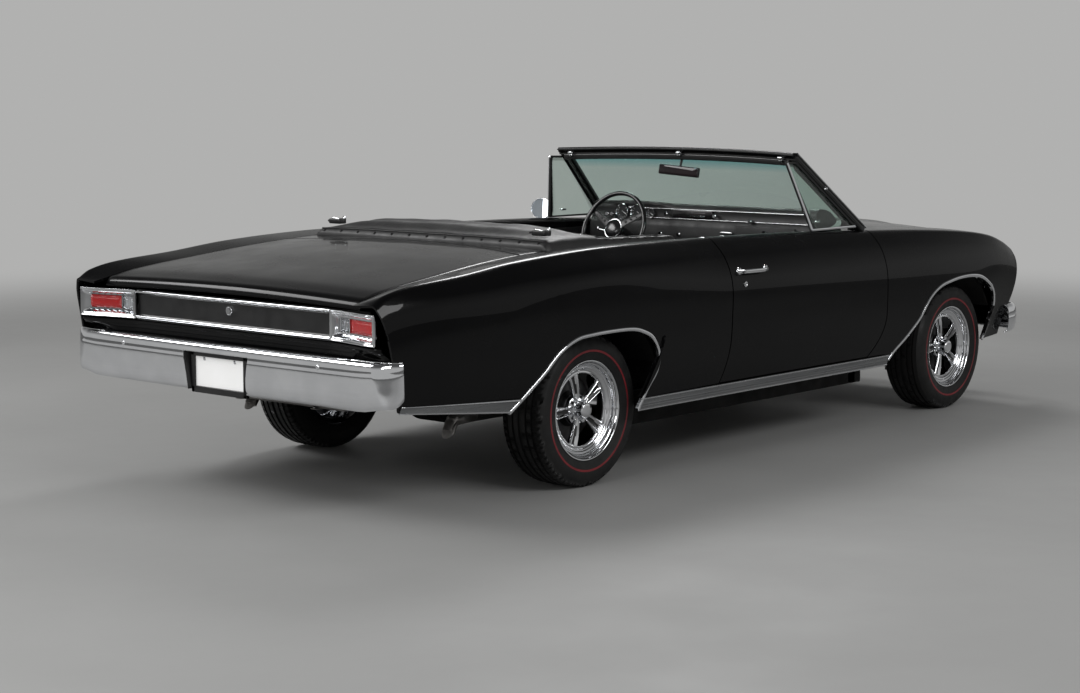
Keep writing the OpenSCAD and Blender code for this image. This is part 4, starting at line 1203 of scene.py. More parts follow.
def pillarAt(h):
    return Vector([mix(a, b, h) for a, b in zip(screen["foot"], screen["head"])])


def bow(h, y):
    return mix(125, 70, h) * (1 - (y / pillarAt(h).y) ** 2)


def headerAt(y):
    return Vector((pillarAt(1).x + bow(1, min(abs(y), 700)), y,
                   1316 + 14 * (1 - (y / 718) ** 2))) * mm


headerLine = [headerAt(mix(-716, 716, k / 48)) for k in range(49)]
headerShape = softLine([(0.014, -0.026), (0.014, 0.018), (0.002, 0.027), (-0.014, 0.020),
                        (-0.015, -0.014), (-0.004, -0.026)], 0.009, 4, closed=True)
header = sweptPiece("windshieldHeader", headerLine, [(-s, o) for s, o in headerShape],
                    lambda k: (1, 0, 0), blackPaint, "body", "paint")
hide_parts("windshield_frame")
bm = bmesh.new()
inner = softLine([(-0.003, -0.004), (0.003, -0.004), (0.003, 0.004), (-0.003, 0.004)], 0.0015, 2,
                 True)
sweep(bm, [p + Vector((-0.0265, 0, 0.004)) for p in headerLine], inner, lambda k: (-1, 0, 0))
sweep(bm, [p + Vector((-0.005, 0, -0.0175)) for p in headerLine],
      [(s * 2.2, o) for s, o in inner], lambda k: (0, 0, -1))
addPiece(bm, "headerSeal", sealRubber, "body", "black_grille")
padShape = softLine([(-0.014, -0.010), (0.014, -0.010), (0.014, 0.010), (-0.014, 0.010)], 0.005,
                    3, True)
sweptPiece("headerGarnish", [p + Vector((-0.006, 0, -0.034)) for p in headerLine[1:-1]], padShape,
           lambda k: (-1, 0, 0), mouldedBlack, "body", "paint")
bm = bmesh.new()
for y in (0.0, 0.640, -0.640):  # roof latch catches under the header
    p = headerAt(y * 1000)
    addBox(bm, p + Vector((-0.030, -0.017, -0.020)), p + Vector((-0.004, 0.017, -0.008)), 0.003, 3)
    lathe(bm, [(0.0, 0.0), (0.011, 0.0), (0.012, 0.006), (0.007, 0.013), (0.0, 0.014)], 20,
          Matrix.Translation(p + Vector((-0.022, 0.0, -0.020))) @ Matrix.Rotation(math.pi, 4, "X"))
    addRod(bm, p + Vector((-0.028, -0.013, -0.012)), p + Vector((-0.046, -0.009, -0.019)), 0.0035)
addPiece(bm, "roofLatches", chrome, "body", "chrome")

for label, side in sides:
    line = [placeOn(side, pillarAt(mix(-0.02, 1.0, k / 24))) for k in range(25)]
    shape = softLine([(-0.017, -0.016), (0.017, -0.016), (0.017, 0.008), (0.010, 0.015),
                      (-0.010, 0.015), (-0.017, 0.008)], 0.004, 3, closed=True)
    sweptPiece("windshieldPillar_" + label, line, shape, lambda k: (0, side, 0), satinBlack, "body",
               "paint")
    sweptPiece("pillarGarnish_" + label,
               [p + Vector((-0.010, -side * 0.029, -0.004)) for p in line[1:-1]],
               [(s, o * 1.6) for s, o in padShape], lambda k: (0, side, 0), mouldedBlack, "body",
               "paint")
    bm = bmesh.new()
    bead = softLine([(-0.0022, -0.003), (0.0022, -0.003), (0.0022, 0.0035), (-0.0022, 0.0035)],
                    0.0015, 2, True)
    for shift in (-0.0125, -0.0045, 0.0125):
        along = [p + Vector((shift * 0.72, side * 0.0150, shift * 0.60)) for p in line[1:]]
        sweep(bm, along, bead, lambda k: (0, side, 0))
    addPiece(bm, "pillarSeals_" + label, sealRubber, "body", "black_grille")
    bright = [p + Vector((0.0155, side * 0.0145, 0.0125)) for p in line]
    strip = softLine([(-0.003, -0.006), (0.003, -0.006), (0.003, 0.003), (-0.003, 0.003)], 0.002, 3,
                     True)
    sweptPiece("pillarTrim_" + label, bright, strip, lambda k: (0.6, side, 0.5), brightTrim, "body",
               "bright_trim")
    bm = bmesh.new()
    p = placeOn(side, pillarAt(0.56)) + Vector((-0.008, side * 0.014, 0))
    lathe(bm, [(0.0, 0.0), (0.009, 0.0), (0.009, 0.008), (0.006, 0.013), (0.0, 0.014)], 20,
          Matrix.Translation(p) @ Matrix.Rotation(math.radians(-90 * side), 4, "X"))
    addPiece(bm, "pillarBumper_" + label, chrome, "body", "chrome")

cowlLine = [Vector((pillarAt(0).x + bow(0, y), y, 966 + 14 * (1 - (y / 790) ** 2))) * mm
            for y in [mix(-792, 792, k / 48) for k in range(49)]]
rail = softLine([(-0.010, -0.010), (0.010, -0.010), (0.010, 0.008), (-0.010, 0.010)], 0.005, 3,
                True)
sweptPiece("windshieldSill", cowlLine, rail, lambda k: (0, 0, 1), brightTrim, "body", "bright_trim")


def screenPoint(t, h):
    p = pillarAt(h)
    y = t * (p.y - 14)
    return Vector((p.x + bow(h, y) + 2, y, p.z + 16 * (1 - t * t))) * mm


glass = wallPiece("windshieldGlass", 48, 20, lambda i, j: screenPoint(i / 24 - 1, mix(0.01, 0.965,
                                                                                      j / 20)),
                  0.005, bandedGlass, "body", "glass", bevel=0.0006,
                  toward=lambda p: Vector((0, p.y, p.z)))
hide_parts("windshield")

# Interior mirror on its stem
x, z = screen["mirrorX"], screen["mirrorZ"]
wide, tall = screen["mirror"]
bm = bmesh.new()
tilt = (Matrix.Translation(Vector((x, 0, z)) * mm) @ Matrix.Rotation(math.radians(8), 4, "Y")
        @ Matrix.Rotation(math.radians(3.5), 4, "X"))
addBox(bm, (-0.007, -wide * mm, -tall * mm), (0.010, wide * mm, tall * mm), 0.006, 3, tilt)
addRod(bm, (0.486, 0, 1.236), (0.512, 0, 1.308), 0.006)
lathe(bm, [(0.0, -0.013), (0.009, -0.010), (0.0125, 0.0), (0.009, 0.010), (0.0, 0.013)], 20,
      Matrix.Translation((0.490, 0, 1.240)))
addPiece(bm, "interiorMirror", paddedBlack, "body", "dash")
# glass of the interior mirror, painted dark as a painted reflection rather than mirrored
bm = bmesh.new()
addBox(bm, (-0.0085, (4 - wide) * mm, (4 - tall) * mm), (-0.0060, (wide - 4) * mm, (tall - 4) * mm),
       0.001, 2, tilt)
addPiece(bm, "interiorMirrorGlass", paintedReflectionMirror, "body", "dash")

# Vent windows hinge with the doors
vent = {"corners": [(826.6, 794, 974), (439.5, 709.7, 1284), (352, 716, 1286), (442, 800, 974)]}
for label, side in sides:
    corners = [placeOn(side, c) for c in vent["corners"]]
    a, b, c, d = corners

    def panePoint(i, j):
        return (a.lerp(d, 0.02 + 0.96 * i / 6)).lerp(b.lerp(c, 0.04 + 0.92 * i / 6),
                                                     0.015 + 0.97 * j / 10)

    pane = wallPiece("ventGlass_" + label, 6, 10, panePoint, 0.005, windowGlass, "door_" + label,
                     "glass", bevel=0.0005)
    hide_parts("vent_window_" + label)
    bm = bmesh.new()
    channel = softLine([(-0.0048, -0.0055), (0.0048, -0.0055), (0.0048, 0.0045), (-0.0048, 0.0045)],
                       0.0015, 2, True)
    for start, end in ((a, b), (b, c), (c, d), (d, a)):
        sweep(bm, [start.lerp(end, k / 4) for k in range(5)], channel, lambda k: (0, side, 0.05))
    addPiece(bm, "ventSeal_" + label, sealRubber, "door_" + label, "black_grille")
    cap = softLine([(-0.0052, -0.002), (0.0052, -0.002), (0.0052, 0.002), (-0.0052, 0.002)],
                   0.001, 2,
                   True)
    shift = Vector((0, side * 0.0062, 0))
    bm = bmesh.new()
    sweep(bm, [c.lerp(d, k / 4) + shift for k in range(5)], [(s * 1.35, o * 1.3) for s, o in cap],
          lambda k: (0, side, 0.05))
    sweep(bm, [d.lerp(a, k / 4) + shift for k in range(5)], cap, lambda k: (0, side, 0.05))
    addPiece(bm, "ventTrim_" + label, chrome, "door_" + label, "chrome")
    bm = bmesh.new()  # latch lever at the pane's back corner
    p = d.lerp(a, 0.22).lerp(b, 0.10) + Vector((0, -side * 0.012, 0.004))
    addBox(bm, p + Vector((-0.010, -0.006, -0.006)), p + Vector((0.026, 0.006, 0.004)), 0.003, 2)
    addPiece(bm, "ventLatch_" + label, chrome, "door_" + label, "chrome")

# Round mirror on the driver's door
bm = bmesh.new()
head = (Matrix.Translation((0.452, 0.868, 1.013)) @ Matrix.Rotation(math.radians(24), 4, "Z")
        @ Matrix.Rotation(math.radians(98), 4, "Y"))
lathe(bm, [(0.0495, 0.0035), (0.0505, -0.0005), (0.0540, -0.0005), (0.0553, 0.003), (0.0553, 0.012),
           (0.052, 0.020), (0.043, 0.029), (0.030, 0.036), (0.015, 0.0395), (0.0, 0.040),
           (0.0, 0.034), (0.030, 0.031), (0.0495, 0.014)], 48, head, closed=True)
shell = addPiece(bm, "doorMirrorHead", chrome, "door_left", "chrome")
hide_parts("door_mirror")
lathePiece("doorMirrorGlass", [(0.0, 0.0025), (0.0495, 0.0030), (0.0497, 0.0045), (0.0, 0.0055)],
           48,
           head, mirrorGlass, "door_left", "chrome")
stem = smoothPath([(0.474, 0.868, 1.000), (0.482, 0.866, 0.976), (0.496, 0.857, 0.951),
                   (0.503, 0.851, 0.938)], 16)
bm = bmesh.new()
sweep(bm, stem, [(0.0085 * math.cos(math.tau * k / 16), 0.0065 * math.sin(math.tau * k / 16))
                 for k in range(16)], lambda k: (0, 1, 0.3))
lathe(bm, [(0.0, 0.004), (0.012, 0.004), (0.024, 0.001), (0.026, -0.005), (0.0, -0.006)], 32,
      Matrix.Translation((0.504, 0.850, 0.944)) @ Matrix.Rotation(math.radians(-24), 4, "X"))
addPiece(bm, "doorMirrorStem", chrome, "door_left", "chrome")

# Wipers, their pivots and the air grille ahead of the windshield
bm = bmesh.new()
for y0, y1 in ((0.60, -0.02), (-0.04, -0.62)):
    base = Vector((1.040 - 0.10 * (y0 / 0.7) ** 2, y0, hoodZ(1080, y0 * 1000) * mm - 0.002))
    tip = Vector((0.990 - 0.13 * (y1 / 0.7) ** 2 + 0.022, y1, 1.012))
    lathe(bm, [(0.0, 0.014), (0.010, 0.013), (0.014, 0.004), (0.015, -0.012)], 20,
          Matrix.Translation(base))
    addRod(bm, base + Vector((0, 0, 0.010)), base.lerp(tip, 0.62) + Vector((0, 0, 0.012)), 0.0038,
           0.0026)
    middle = base.lerp(tip, 0.60)
    reach = (tip - base).normalized() * 0.19
    lift = Vector((-0.004, 0, 0.006))
    addBox(bm, (0, 0, 0), (1, 1, 1), 0.0, 1,
           Matrix.Translation(middle - reach + lift)
           @ (reach * 2).to_track_quat("X", "Z").to_matrix().to_4x4()
           @ Matrix.Diagonal((reach.length * 2, 0.006, 0.009, 1)))
closeHoles(bm)
addPiece(bm, "wipers", satinBlack, "body", "black_grille")
bm = bmesh.new()
for k in range(-22, 23):
    y = k * 26
    z = hoodZ(1080, y) - 3
    x = pillarAt(0).x + bow(0, y) + 22
    addBox(bm, Vector((x, y - 4, z - 4)) * mm, Vector((1066, y + 4, z)) * mm, 0.0012, 1)
addPiece(bm, "cowlVents", satinBlack, "body", "black_grille")
print("glass and mirrors built")

# Dashboard: a padded top over a dark face with two bright lines
dash = {
    "halfWidth": 684,
    "section": [(640, 832), (622, 858), (616, 900), (619, 950), (630, 972), (640, 984), (644, 1008),
                (641, 1026), (650, 1042), (672, 1056), (720, 1053), (768, 1038), (820, 1000),
                (868, 950), (868, 915), (800, 880), (740, 835)],
    "lines": (981, 1028), "linesLeft": 470, "linesRight": -655,
    "dials": [(470, 1005, 40), (375, 1005, 40), (288, 1001, 24)],
}


def dashPoint(i, j, line):
    y = mix(-dash["halfWidth"], dash["halfWidth"], i / 60)
    x, z = line[j % len(line)]
    bowed = 14 * (y / dash["halfWidth"]) ** 2
    hood = 26 * math.exp(-((y - 375) / 165) ** 4) * ease((z - 1030) / 16) * ease((760 - x) / 90)
    return Vector((x + bowed - (hood * 1.1 if z > 1030 else 0), y, z + hood * 0.3)) * mm


bm = bmesh.new()
line = softLine(dash["section"], 9, 2, closed=True)
verts = placedGrid(bm, 60, len(line), lambda i, j: dashPoint(i, j, line))
bmesh.ops.remove_doubles(bm, verts=verts, dist=0.00001)
closeHoles(bm)
pad = addPiece(bm, "dashboardShell", paddedBlack, "body", "dash", sharp=45)
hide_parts("dashboard")

bm = bmesh.new()
strip = softLine([(-0.0022, -0.003), (0.0022, -0.003), (0.0022, 0.003), (-0.0022, 0.003)], 0.001,
                 2, True)
for z, x in zip(dash["lines"], (634, 638)):
    line = [Vector((x + 14 * (y / 684) ** 2 - 1.5, y, z)) * mm
            for y in [mix(dash["linesRight"], dash["linesLeft"] + (0 if z < 1000 else -14), k / 40)
                      for k in range(41)]]
    sweep(bm, line, strip, lambda k: (-1, 0, 0))
for y, lean in ((dash["linesLeft"], -14), (dash["linesRight"], 0)):
    addRod(bm, (0.635 + 0.014 * (y / 684) ** 2, y * mm, 0.981),
           (0.637 + 0.014 * (y / 684) ** 2, (y + lean) * mm, 1.028), 0.0024, sides=10)
addPiece(bm, "dashTrimLines", brightTrim, "body", "bright_trim")

facing = Matrix.Rotation(math.radians(-90), 4, "Y")
bm = bmesh.new()
dials = bmesh.new()
needles = bmesh.new()
for y, z, r in dash["dials"]:
    spot = Matrix.Translation(Vector((632, y, z)) * mm) @ facing
    lathe(bm, [(r * 0.86 * mm, -0.006), (r * 0.90 * mm, 0.006), (r * 0.96 * mm, 0.009), (r * mm,
                                                                                         0.006),
               (r * mm, -0.006)], 40, spot, closed=True)
    lathe(dials, [(0.0, -0.004), (r * 0.88 * mm, -0.004), (r * 0.88 * mm, -0.001), (0.0, -0.001)],
          40,
          spot)
    for k in range(11):
        a = math.radians(-130 + 26 * k)
        addBox(needles, (-0.0006, r * 0.66 * mm, -0.001), (0.0006, r * 0.80 * mm, -0.0002), 0.0, 1,
               spot @ Matrix.Rotation(a + math.pi / 2, 4, "Z"))
    addBox(needles, (-0.0009, -0.004, 0.0), (0.0009, r * 0.62 * mm, 0.0010), 0.0, 1,
           spot @ Matrix.Rotation(math.radians(150), 4, "Z"))
    lathe(bm, [(0.0, -0.001), (0.004, -0.001), (0.004, 0.002), (0.0, 0.003)], 16, spot)
addPiece(bm, "gaugeBezels", chrome, "body", "chrome")
addPiece(dials, "gaugeFaces", dialFace, "body", "dash")
addPiece(needles, "gaugeMarks", whitePlate, "body", "plate")

bm = bmesh.new()
knobShape = [(0.0, 0.024), (0.0085, 0.024), (0.011, 0.021), (0.011, 0.013), (0.006, 0.010),
             (0.006, -0.004)]
for y, z in ((565, 991), (532, 991), (180, 1004), (-120, 1004), (215, 905), (100, 905),
             (-330, 986)):
    spot = Matrix.Translation(Vector((632 + 14 * (y / 684) ** 2, y, z)) * mm) @ facing
    lathe(bm, knobShape, 24, spot)
closeHoles(bm)
addPiece(bm, "dashKnobs", chrome, "body", "chrome")
bm = bmesh.new()
addBox(bm, (0.628, -0.095, 0.984), (0.650, 0.150, 1.025), 0.003, 2)
addBox(bm, (0.625, -0.060, 0.992), (0.630, 0.060, 1.016), 0.0015, 2)
addPiece(bm, "radioFace", mouldedBlack, "body", "dash")
bm = bmesh.new()
for k in range(5):
    addBox(bm, (0.622, -0.052 + 0.021 * k, 0.994), (0.627, -0.036 + 0.021 * k, 1.002), 0.001, 1)
addPiece(bm, "radioKeys", chrome, "body", "chrome")
bm = bmesh.new()
addBox(bm, (0.608, -0.600, 0.868), (0.622, -0.250, 0.962), 0.006, 3)
addPiece(bm, "gloveboxDoor", paddedBlack, "body", "dash")
bm = bmesh.new()
lathe(bm, [(0.0, 0.010), (0.011, 0.010), (0.013, 0.006), (0.013, -0.004)], 24,
      Matrix.Translation((0.608, -0.425, 0.935)) @ facing)
addBox(bm, (0.606, -0.150, 0.862), (0.622, -0.030, 0.900), 0.004, 3)
closeHoles(bm)
addPiece(bm, "ashtrayAndLock", chrome, "body", "chrome")

# Heater levers under the dash face
bm = bmesh.new()
for k in range(4):
    addBox(bm, (0.596, -0.235, 0.868 + 0.017 * k), (0.616, -0.165, 0.879 + 0.017 * k), 0.0025, 2)
addPiece(bm, "heaterLevers", brightTrim, "body", "bright_trim")
print("dashboard built")

# Steering column and wheel, about the column's own axis
steering = {"hub": (0.437, 0.375, 0.930), "rake": 22, "rim": 0.188, "grip": 0.0115, "spokes": 3}
columnSpace = (Matrix.Translation(steering["hub"])
               @ Matrix.Rotation(math.radians(90 + steering["rake"]), 4, "Y"))
lathePiece("steeringColumn",
           [(0.0, 0.033), (0.031, 0.033), (0.034, 0.038), (0.034, 0.105), (0.029, 0.112), (0.027,
                                                                                           0.120),
            (0.027, 0.330), (0.031, 0.336), (0.031, 0.350), (0.024, 0.356), (0.020, 0.570), (0.0,
                                                                                             0.575)],
           40, columnSpace, mouldedBlack, "body", "dash")
bm = bmesh.new()
addRod(bm, columnSpace @ Vector((0, 0.030, 0.070)), columnSpace @ Vector((-0.01, 0.135, 0.052)),
       0.0045,
       0.0035)
lathe(bm, [(0.0, -0.012), (0.007, -0.010), (0.0085, 0.0), (0.006, 0.010), (0.0, 0.012)], 16,
      Matrix.Translation(columnSpace @ Vector((-0.011, 0.140, 0.051))))
addPiece(bm, "turnSignalLever", chrome, "body", "chrome")
bm = bmesh.new()
rimShape = [(steering["rim"] + steering["grip"] * math.cos(math.tau * k / 20),
             steering["grip"] * math.sin(math.tau * k / 20)) for k in range(20)]
lathe(bm, rimShape, 120, columnSpace, closed=True)
for v in bm.verts:  # finger grips on the far side of the rim
    p = columnSpace.inverted() @ v.co
    r = math.hypot(p.x, p.y)
    if p.z > 0.002:
        v.co = columnSpace @ Vector((p.x, p.y, p.z - 0.0022 * (0.5 + 0.5 * math.cos(
            math.atan2(p.y, p.x) * 44)) * ease(p.z / 0.008)))
grip = addPiece(bm, "steeringRim", mouldedBlack, "steering_wheel", "grip", sharp=60)
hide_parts("steering_wheel")
bm = bmesh.new()
for k in range(steering["spokes"]):
    turn = columnSpace @ Matrix.Rotation(math.radians(120 * k), 4, "Z")

    def armPoint(i, j):
        u, w = i / 12, j / 3 - 1
        r = mix(0.030, 0.180, u)
        return turn @ Vector((r, w * mix(0.021, 0.012, u),
                              -0.004 + 0.010 * ease(u) + 0.002 * w * w))

    verts = placedGrid(bm, 12, 6, armPoint)
    thicken(bm, verts, lambda i, j, p, n: p + turn.to_3x3() @ Vector((0, 0, 0.0035)))
    for v in verts:
        v[bm.verts.layers.int["along"]] = -1
bevelSharp(bm, 0.0008)
addPiece(bm, "steeringSpokes", satinBlack, "steering_wheel", "black_grille")
bm = bmesh.new()
for k in range(steering["spokes"]):
    for n in range(3):
        spot = (columnSpace @ Matrix.Rotation(math.radians(120 * k), 4, "Z")
                @ Matrix.Translation((0.078 + 0.030 * n, 0, 0.0)))
        lathe(bm, [(0.0, -0.0058), (0.0062 - 0.0008 * n, -0.0058), (0.0062 - 0.0008 * n, -0.0040),
                   (0.0, -0.0035)], 20, spot)
addPiece(bm, "spokeHoles", sealRubber, "steering_wheel", "grip")
lathePiece("hornCap", [(0.0, -0.021), (0.020, -0.020), (0.038, -0.016), (0.047, -0.008), (0.048,
                                                                                          0.0),
                       (0.040, 0.006), (0.034, 0.028), (0.0, 0.030)], 48, columnSpace, mouldedBlack,
           "steering_wheel", "grip")
lathePiece("hornRing", [(0.0485, -0.0045), (0.0500, -0.0045), (0.0512, -0.001), (0.0500, 0.0025),
                        (0.0485, 0.0025)], 48, columnSpace, chrome, "steering_wheel", "chrome",
           closed=True)
print("steering wheel built")

# Floor covering, console and shifter, pedals
cabin = {"floor": 304, "tunnel": (150, 440), "from": -868, "to": 976, "wide": 752}


def carpetPoint(i, j, nu, nw):
    x = mix(cabin["from"], cabin["to"], i / nu)
    y = mix(-cabin["wide"], cabin["wide"], j / nw)
    half, top = cabin["tunnel"]
    hump = ease((half + 26 - abs(y)) / 26)
    toe = ease((x - 800) / 180) ** 2 * 130 * (1 - hump)
    heel = 5 * ease((abs(y) - 700) / 50) * 6
    return Vector((x, y, cabin["floor"] + 6 + hump * (top - cabin["floor"]) + toe + heel)) * mm


wallPiece("floorCarpet", 60, 96, lambda i, j: carpetPoint(i, j, 60, 96), 0.005, carpet, "body",
          "vinyl",
          toward=lambda p: Vector((p.x, p.y, -1)), bevel=0.0015)
bm = bmesh.new()
addBox(bm, (-0.090, -0.078, 0.440), (0.560, 0.078, 0.480), 0.010, 3)
addBox(bm, (-0.090, -0.074, 0.470), (0.110, 0.074, 0.590), 0.014, 3)
addPiece(bm, "centreConsole", paddedBlack, "body", "dash")
bm = bmesh.new()
addBox(bm, (0.150, -0.055, 0.4795), (0.400, 0.055, 0.4835), 0.0015, 2)
addBox(bm, (-0.080, -0.064, 0.5885), (0.100, 0.064, 0.5925), 0.0015, 2)
addRod(bm, (0.300, 0.0, 0.480), (0.262, 0.012, 0.690), 0.0065, 0.0052)
addPiece(bm, "consoleTrim", brightTrim, "body", "bright_trim")
lathePiece("shifterKnob", [(0.0, -0.022), (0.008, -0.020), (0.016, -0.010), (0.0215, 0.002),
                           (0.019, 0.015), (0.010, 0.022), (0.0, 0.0235)], 32,
           Matrix.Translation((0.260, 0.0125, 0.705)), mouldedBlack, "body", "grip")
lathePiece("shifterBoot", [(0.0, 0.060), (0.008, 0.060), (0.012, 0.050), (0.020, 0.044), (0.021,
                                                                                          0.038),
                           (0.031, 0.032), (0.032, 0.026), (0.046, 0.018), (0.048, 0.0), (0.0,
                                                                                          -0.002)],
           40, Matrix.Translation((0.298, 0.0, 0.482)), vinyl, "body", "vinyl")
bm = bmesh.new()
for y, w in ((0.300, 0.036), (0.440, 0.036), (0.215, 0.024)):
    tilt = Matrix.Translation((0.830, y, 0.440)) @ Matrix.Rotation(math.radians(-32), 4, "Y")
    addBox(bm, (-0.006, -w, -0.028), (0.006, w, 0.028), 0.004, 2, tilt)
    addRod(bm, tilt @ Vector((0.006, 0, 0.01)), (0.930, y, 0.660), 0.006)
addPiece(bm, "pedals", sealRubber, "body", "black_grille")
print("floor and console built")

# Inside of the doors: pleated vinyl panel, armrest, crank and release handle
trim = {"foot": 372, "top": 916, "backX": -330, "frontX": 690, "pleats": 26}


def doorPanelPoint(side, u, v):
    z = mix(trim["foot"], trim["top"], v)
    share = clamp((z - 360) / 600)
    x0 = mix(trim["backX"] - 60, trim["backX"] + 20, share)
    x1 = mix(trim["frontX"] - 20, trim["frontX"] + 120, share)
    x = mix(x0, x1, u)
    edge = min(u * 12, (1 - u) * 12, v * 10, (1 - v) * 6)
    swell = 7 * ease(edge)
    if 0.42 < v < 0.80 and 0.03 < u < 0.97:
        swell += 2.6 * abs(math.sin(u * trim["pleats"] * math.pi)) ** 0.6 * ease(
            min(v - 0.42, 0.80 - v) / 0.02)
    swell -= 3 * math.exp(-((v - 0.42) / 0.008) ** 2) + 3 * math.exp(-((v - 0.80) / 0.008) ** 2)
    return placeOn(side, (x, 764 - swell, z))


for label, side in sides:
    body = "door_" + label
    panel = wallPiece("doorPanel_" + label, 156, 60,
                      lambda i, j: doorPanelPoint(side, i / 156, j / 60), 0.006, vinyl, body,
                      "vinyl",
                      bevel=0.0015, toward=lambda p: Vector((p.x, side * 2, p.z)))
    bm = bmesh.new()

    def restPoint(i, j):
        u, a = i / 20, math.tau * j / 16
        wide = 26 * (1 - 0.45 * abs(2 * u - 1) ** 3)
        tall = 20 * (1 - 0.35 * abs(2 * u - 1) ** 3)
        return placeOn(side, (mix(-60, 262, u), 722 + wide * math.cos(a) * 0.95,
                              628 + 10 * u + tall * math.sin(a)))

    verts = placedGrid(bm, 20, 16, restPoint)
    bmesh.ops.remove_doubles(bm, verts=verts, dist=0.00001)
    closeHoles(bm)
    rest = addPiece(bm, "armrest_" + label, vinyl, body, "vinyl", sharp=60)
    bm = bmesh.new()
    for x, z, lever, knob in ((420, 640, (-0.062, -0.070), True), (300, 780, (-0.085, -0.010),
                                                                   False),
                              (30, 760, (0.0, 0.0), False)):
        spot = (Matrix.Translation(placeOn(side, (x, 757, z)))
                @ Matrix.Rotation(math.radians(90 * side), 4, "X"))
        lathe(bm, [(0.0, 0.016), (0.012, 0.015), (0.017, 0.008), (0.020, -0.004)], 24, spot)
        if lever[0]:
            start = placeOn(side, (x, 745, z))
            end = start + Vector((lever[0], -side * 0.006, lever[1]))
            addRod(bm, start, end, 0.0075, 0.0055)
            if knob:
                addRod(bm, end + Vector((0, side * 0.002, 0)), end - Vector((0, side * 0.030, 0)),
                       0.010,
                       0.012)
    closeHoles(bm)
    addPiece(bm, "doorHandlesInside_" + label, chrome, body, "chrome")
    bm = bmesh.new()
    capLine = [placeOn(side, (x, mix(774, 768, k / 20), crestZ(x) - 16 + 2))
               for k, x in enumerate([mix(-350, 800, n / 20) for n in range(21)])]
    sweep(bm, capLine, softLine([(-0.006, -0.012), (0.006, -0.012), (0.006, 0.012), (-0.006,
                                                                                     0.012)],
                                0.004, 3, True), lambda k: (0, -side, 0))
    addPiece(bm, "doorTopCap_" + label, sealRubber, body, "black_grille")
print("door trim built")

# Door handles and locks
handle = {"fromX": -323, "toX": -94, "z": 835, "keyX": -284, "keyZ": 779}
for label, side in sides:
    body = "door_" + label
    bm = bmesh.new()
    x0, x1, z = handle["fromX"], handle["toX"], handle["z"]
    path = smoothPath([placeOn(side, (mix(x0, x1, k / 8), sideY(mix(x0, x1, k / 8), z)
                                      + (2, 15, 22, 25, 26, 25, 22, 14, 2)[k], z + 1 - k * 0.3))
                       for k in range(9)], 40)
    shape = softLine([(-0.0095, -0.004), (0.0095, -0.004), (0.0095, 0.003), (0.004, 0.0055),
                      (-0.004, 0.0055), (-0.0095, 0.003)], 0.003, 3, True)
    sweep(bm, [Vector((p.x, min(abs(p.y), 0.9505) * side, p.z)) for p in path], shape,
          lambda k: (0, side, 0))
    for x in (x0 + 12, x1 - 12):
        lathe(bm, [(0.0, 0.006), (0.011, 0.005), (0.017, 0.001), (0.019, -0.006)], 24,
              Matrix.Translation(placeOn(side, (x, sideY(x, z), z)))
              @ Matrix.Rotation(math.radians(-90 * side), 4, "X"))
    lathe(bm, [(0.0, 0.010), (0.0085, 0.010), (0.0085, 0.004)], 20,
          Matrix.Translation(placeOn(side, (x0 + 18, sideY(x0, z) + 18, z)))
          @ Matrix.Rotation(math.radians(-90 * side), 4, "X"))
    spot = placeOn(side, (handle["keyX"], sideY(handle["keyX"], handle["keyZ"]), handle["keyZ"]))
    lathe(bm, [(0.0, 0.0045), (0.007, 0.0045), (0.0085, 0.006), (0.012, 0.005), (0.013, -0.003)],
          24,
          Matrix.Translation(spot) @ Matrix.Rotation(math.radians(-90 * side), 4, "X"))
    closeHoles(bm)
    addPiece(bm, "doorHandle_" + label, chrome, body, "chrome")
print("handles built")

seats = {
    "front": {"x": -95, "y": 405, "halfWidth": 240, "depth": 462, "backHeight": 515, "lean": 14,
              "voxel": 0.0085, "cap": 0.013, "pleats": [k * 33 for k in range(-4, 5)],
              "bolster": 172},
    "rear": {"x": -725, "y": 0, "halfWidth": 575, "depth": 368, "backHeight": 462, "lean": 12,
             "voxel": 0.0115, "cap": 0.013,
             "pleats": [side * (112 + k * 36) for k in range(11) for side in (1, -1)],
             "bolster": 500},
    "pressure": 4.0, "frames": 20, "seamDepth": 0.006, "seamWidth": 0.0045,
}


def padForm(low, high, rounding, taper=0.0, matrix=None):  # soft-cornered block, in metres
    bm = bmesh.new()
    bmesh.ops.create_cube(bm, size=1)
    size = [b - a for a, b in zip(low, high)]
    for v in bm.verts:
        v.co = Vector([mix(a, b, c + 0.5) for a, b, c in zip(low, high, v.co)])
        if taper and v.co.z > (low[2] + high[2]) / 2:
            middle = (low[1] + high[1]) / 2
            v.co.y = middle + (v.co.y - middle) * (1 - taper)
    bmesh.ops.bevel(bm, geom=bm.edges[:], offset=rounding, segments=4, affect="EDGES", profile=0.5,
                    material=-1, clamp_overlap=True)
    if matrix:
        bmesh.ops.transform(bm, matrix=matrix, verts=bm.verts)
    return bm


def applyModifiers(pad):
    layer = bpy.context.evaluated_depsgraph_get()
    pad.data = bpy.data.meshes.new_from_object(pad.evaluated_get(layer))
    pad.modifiers.clear()


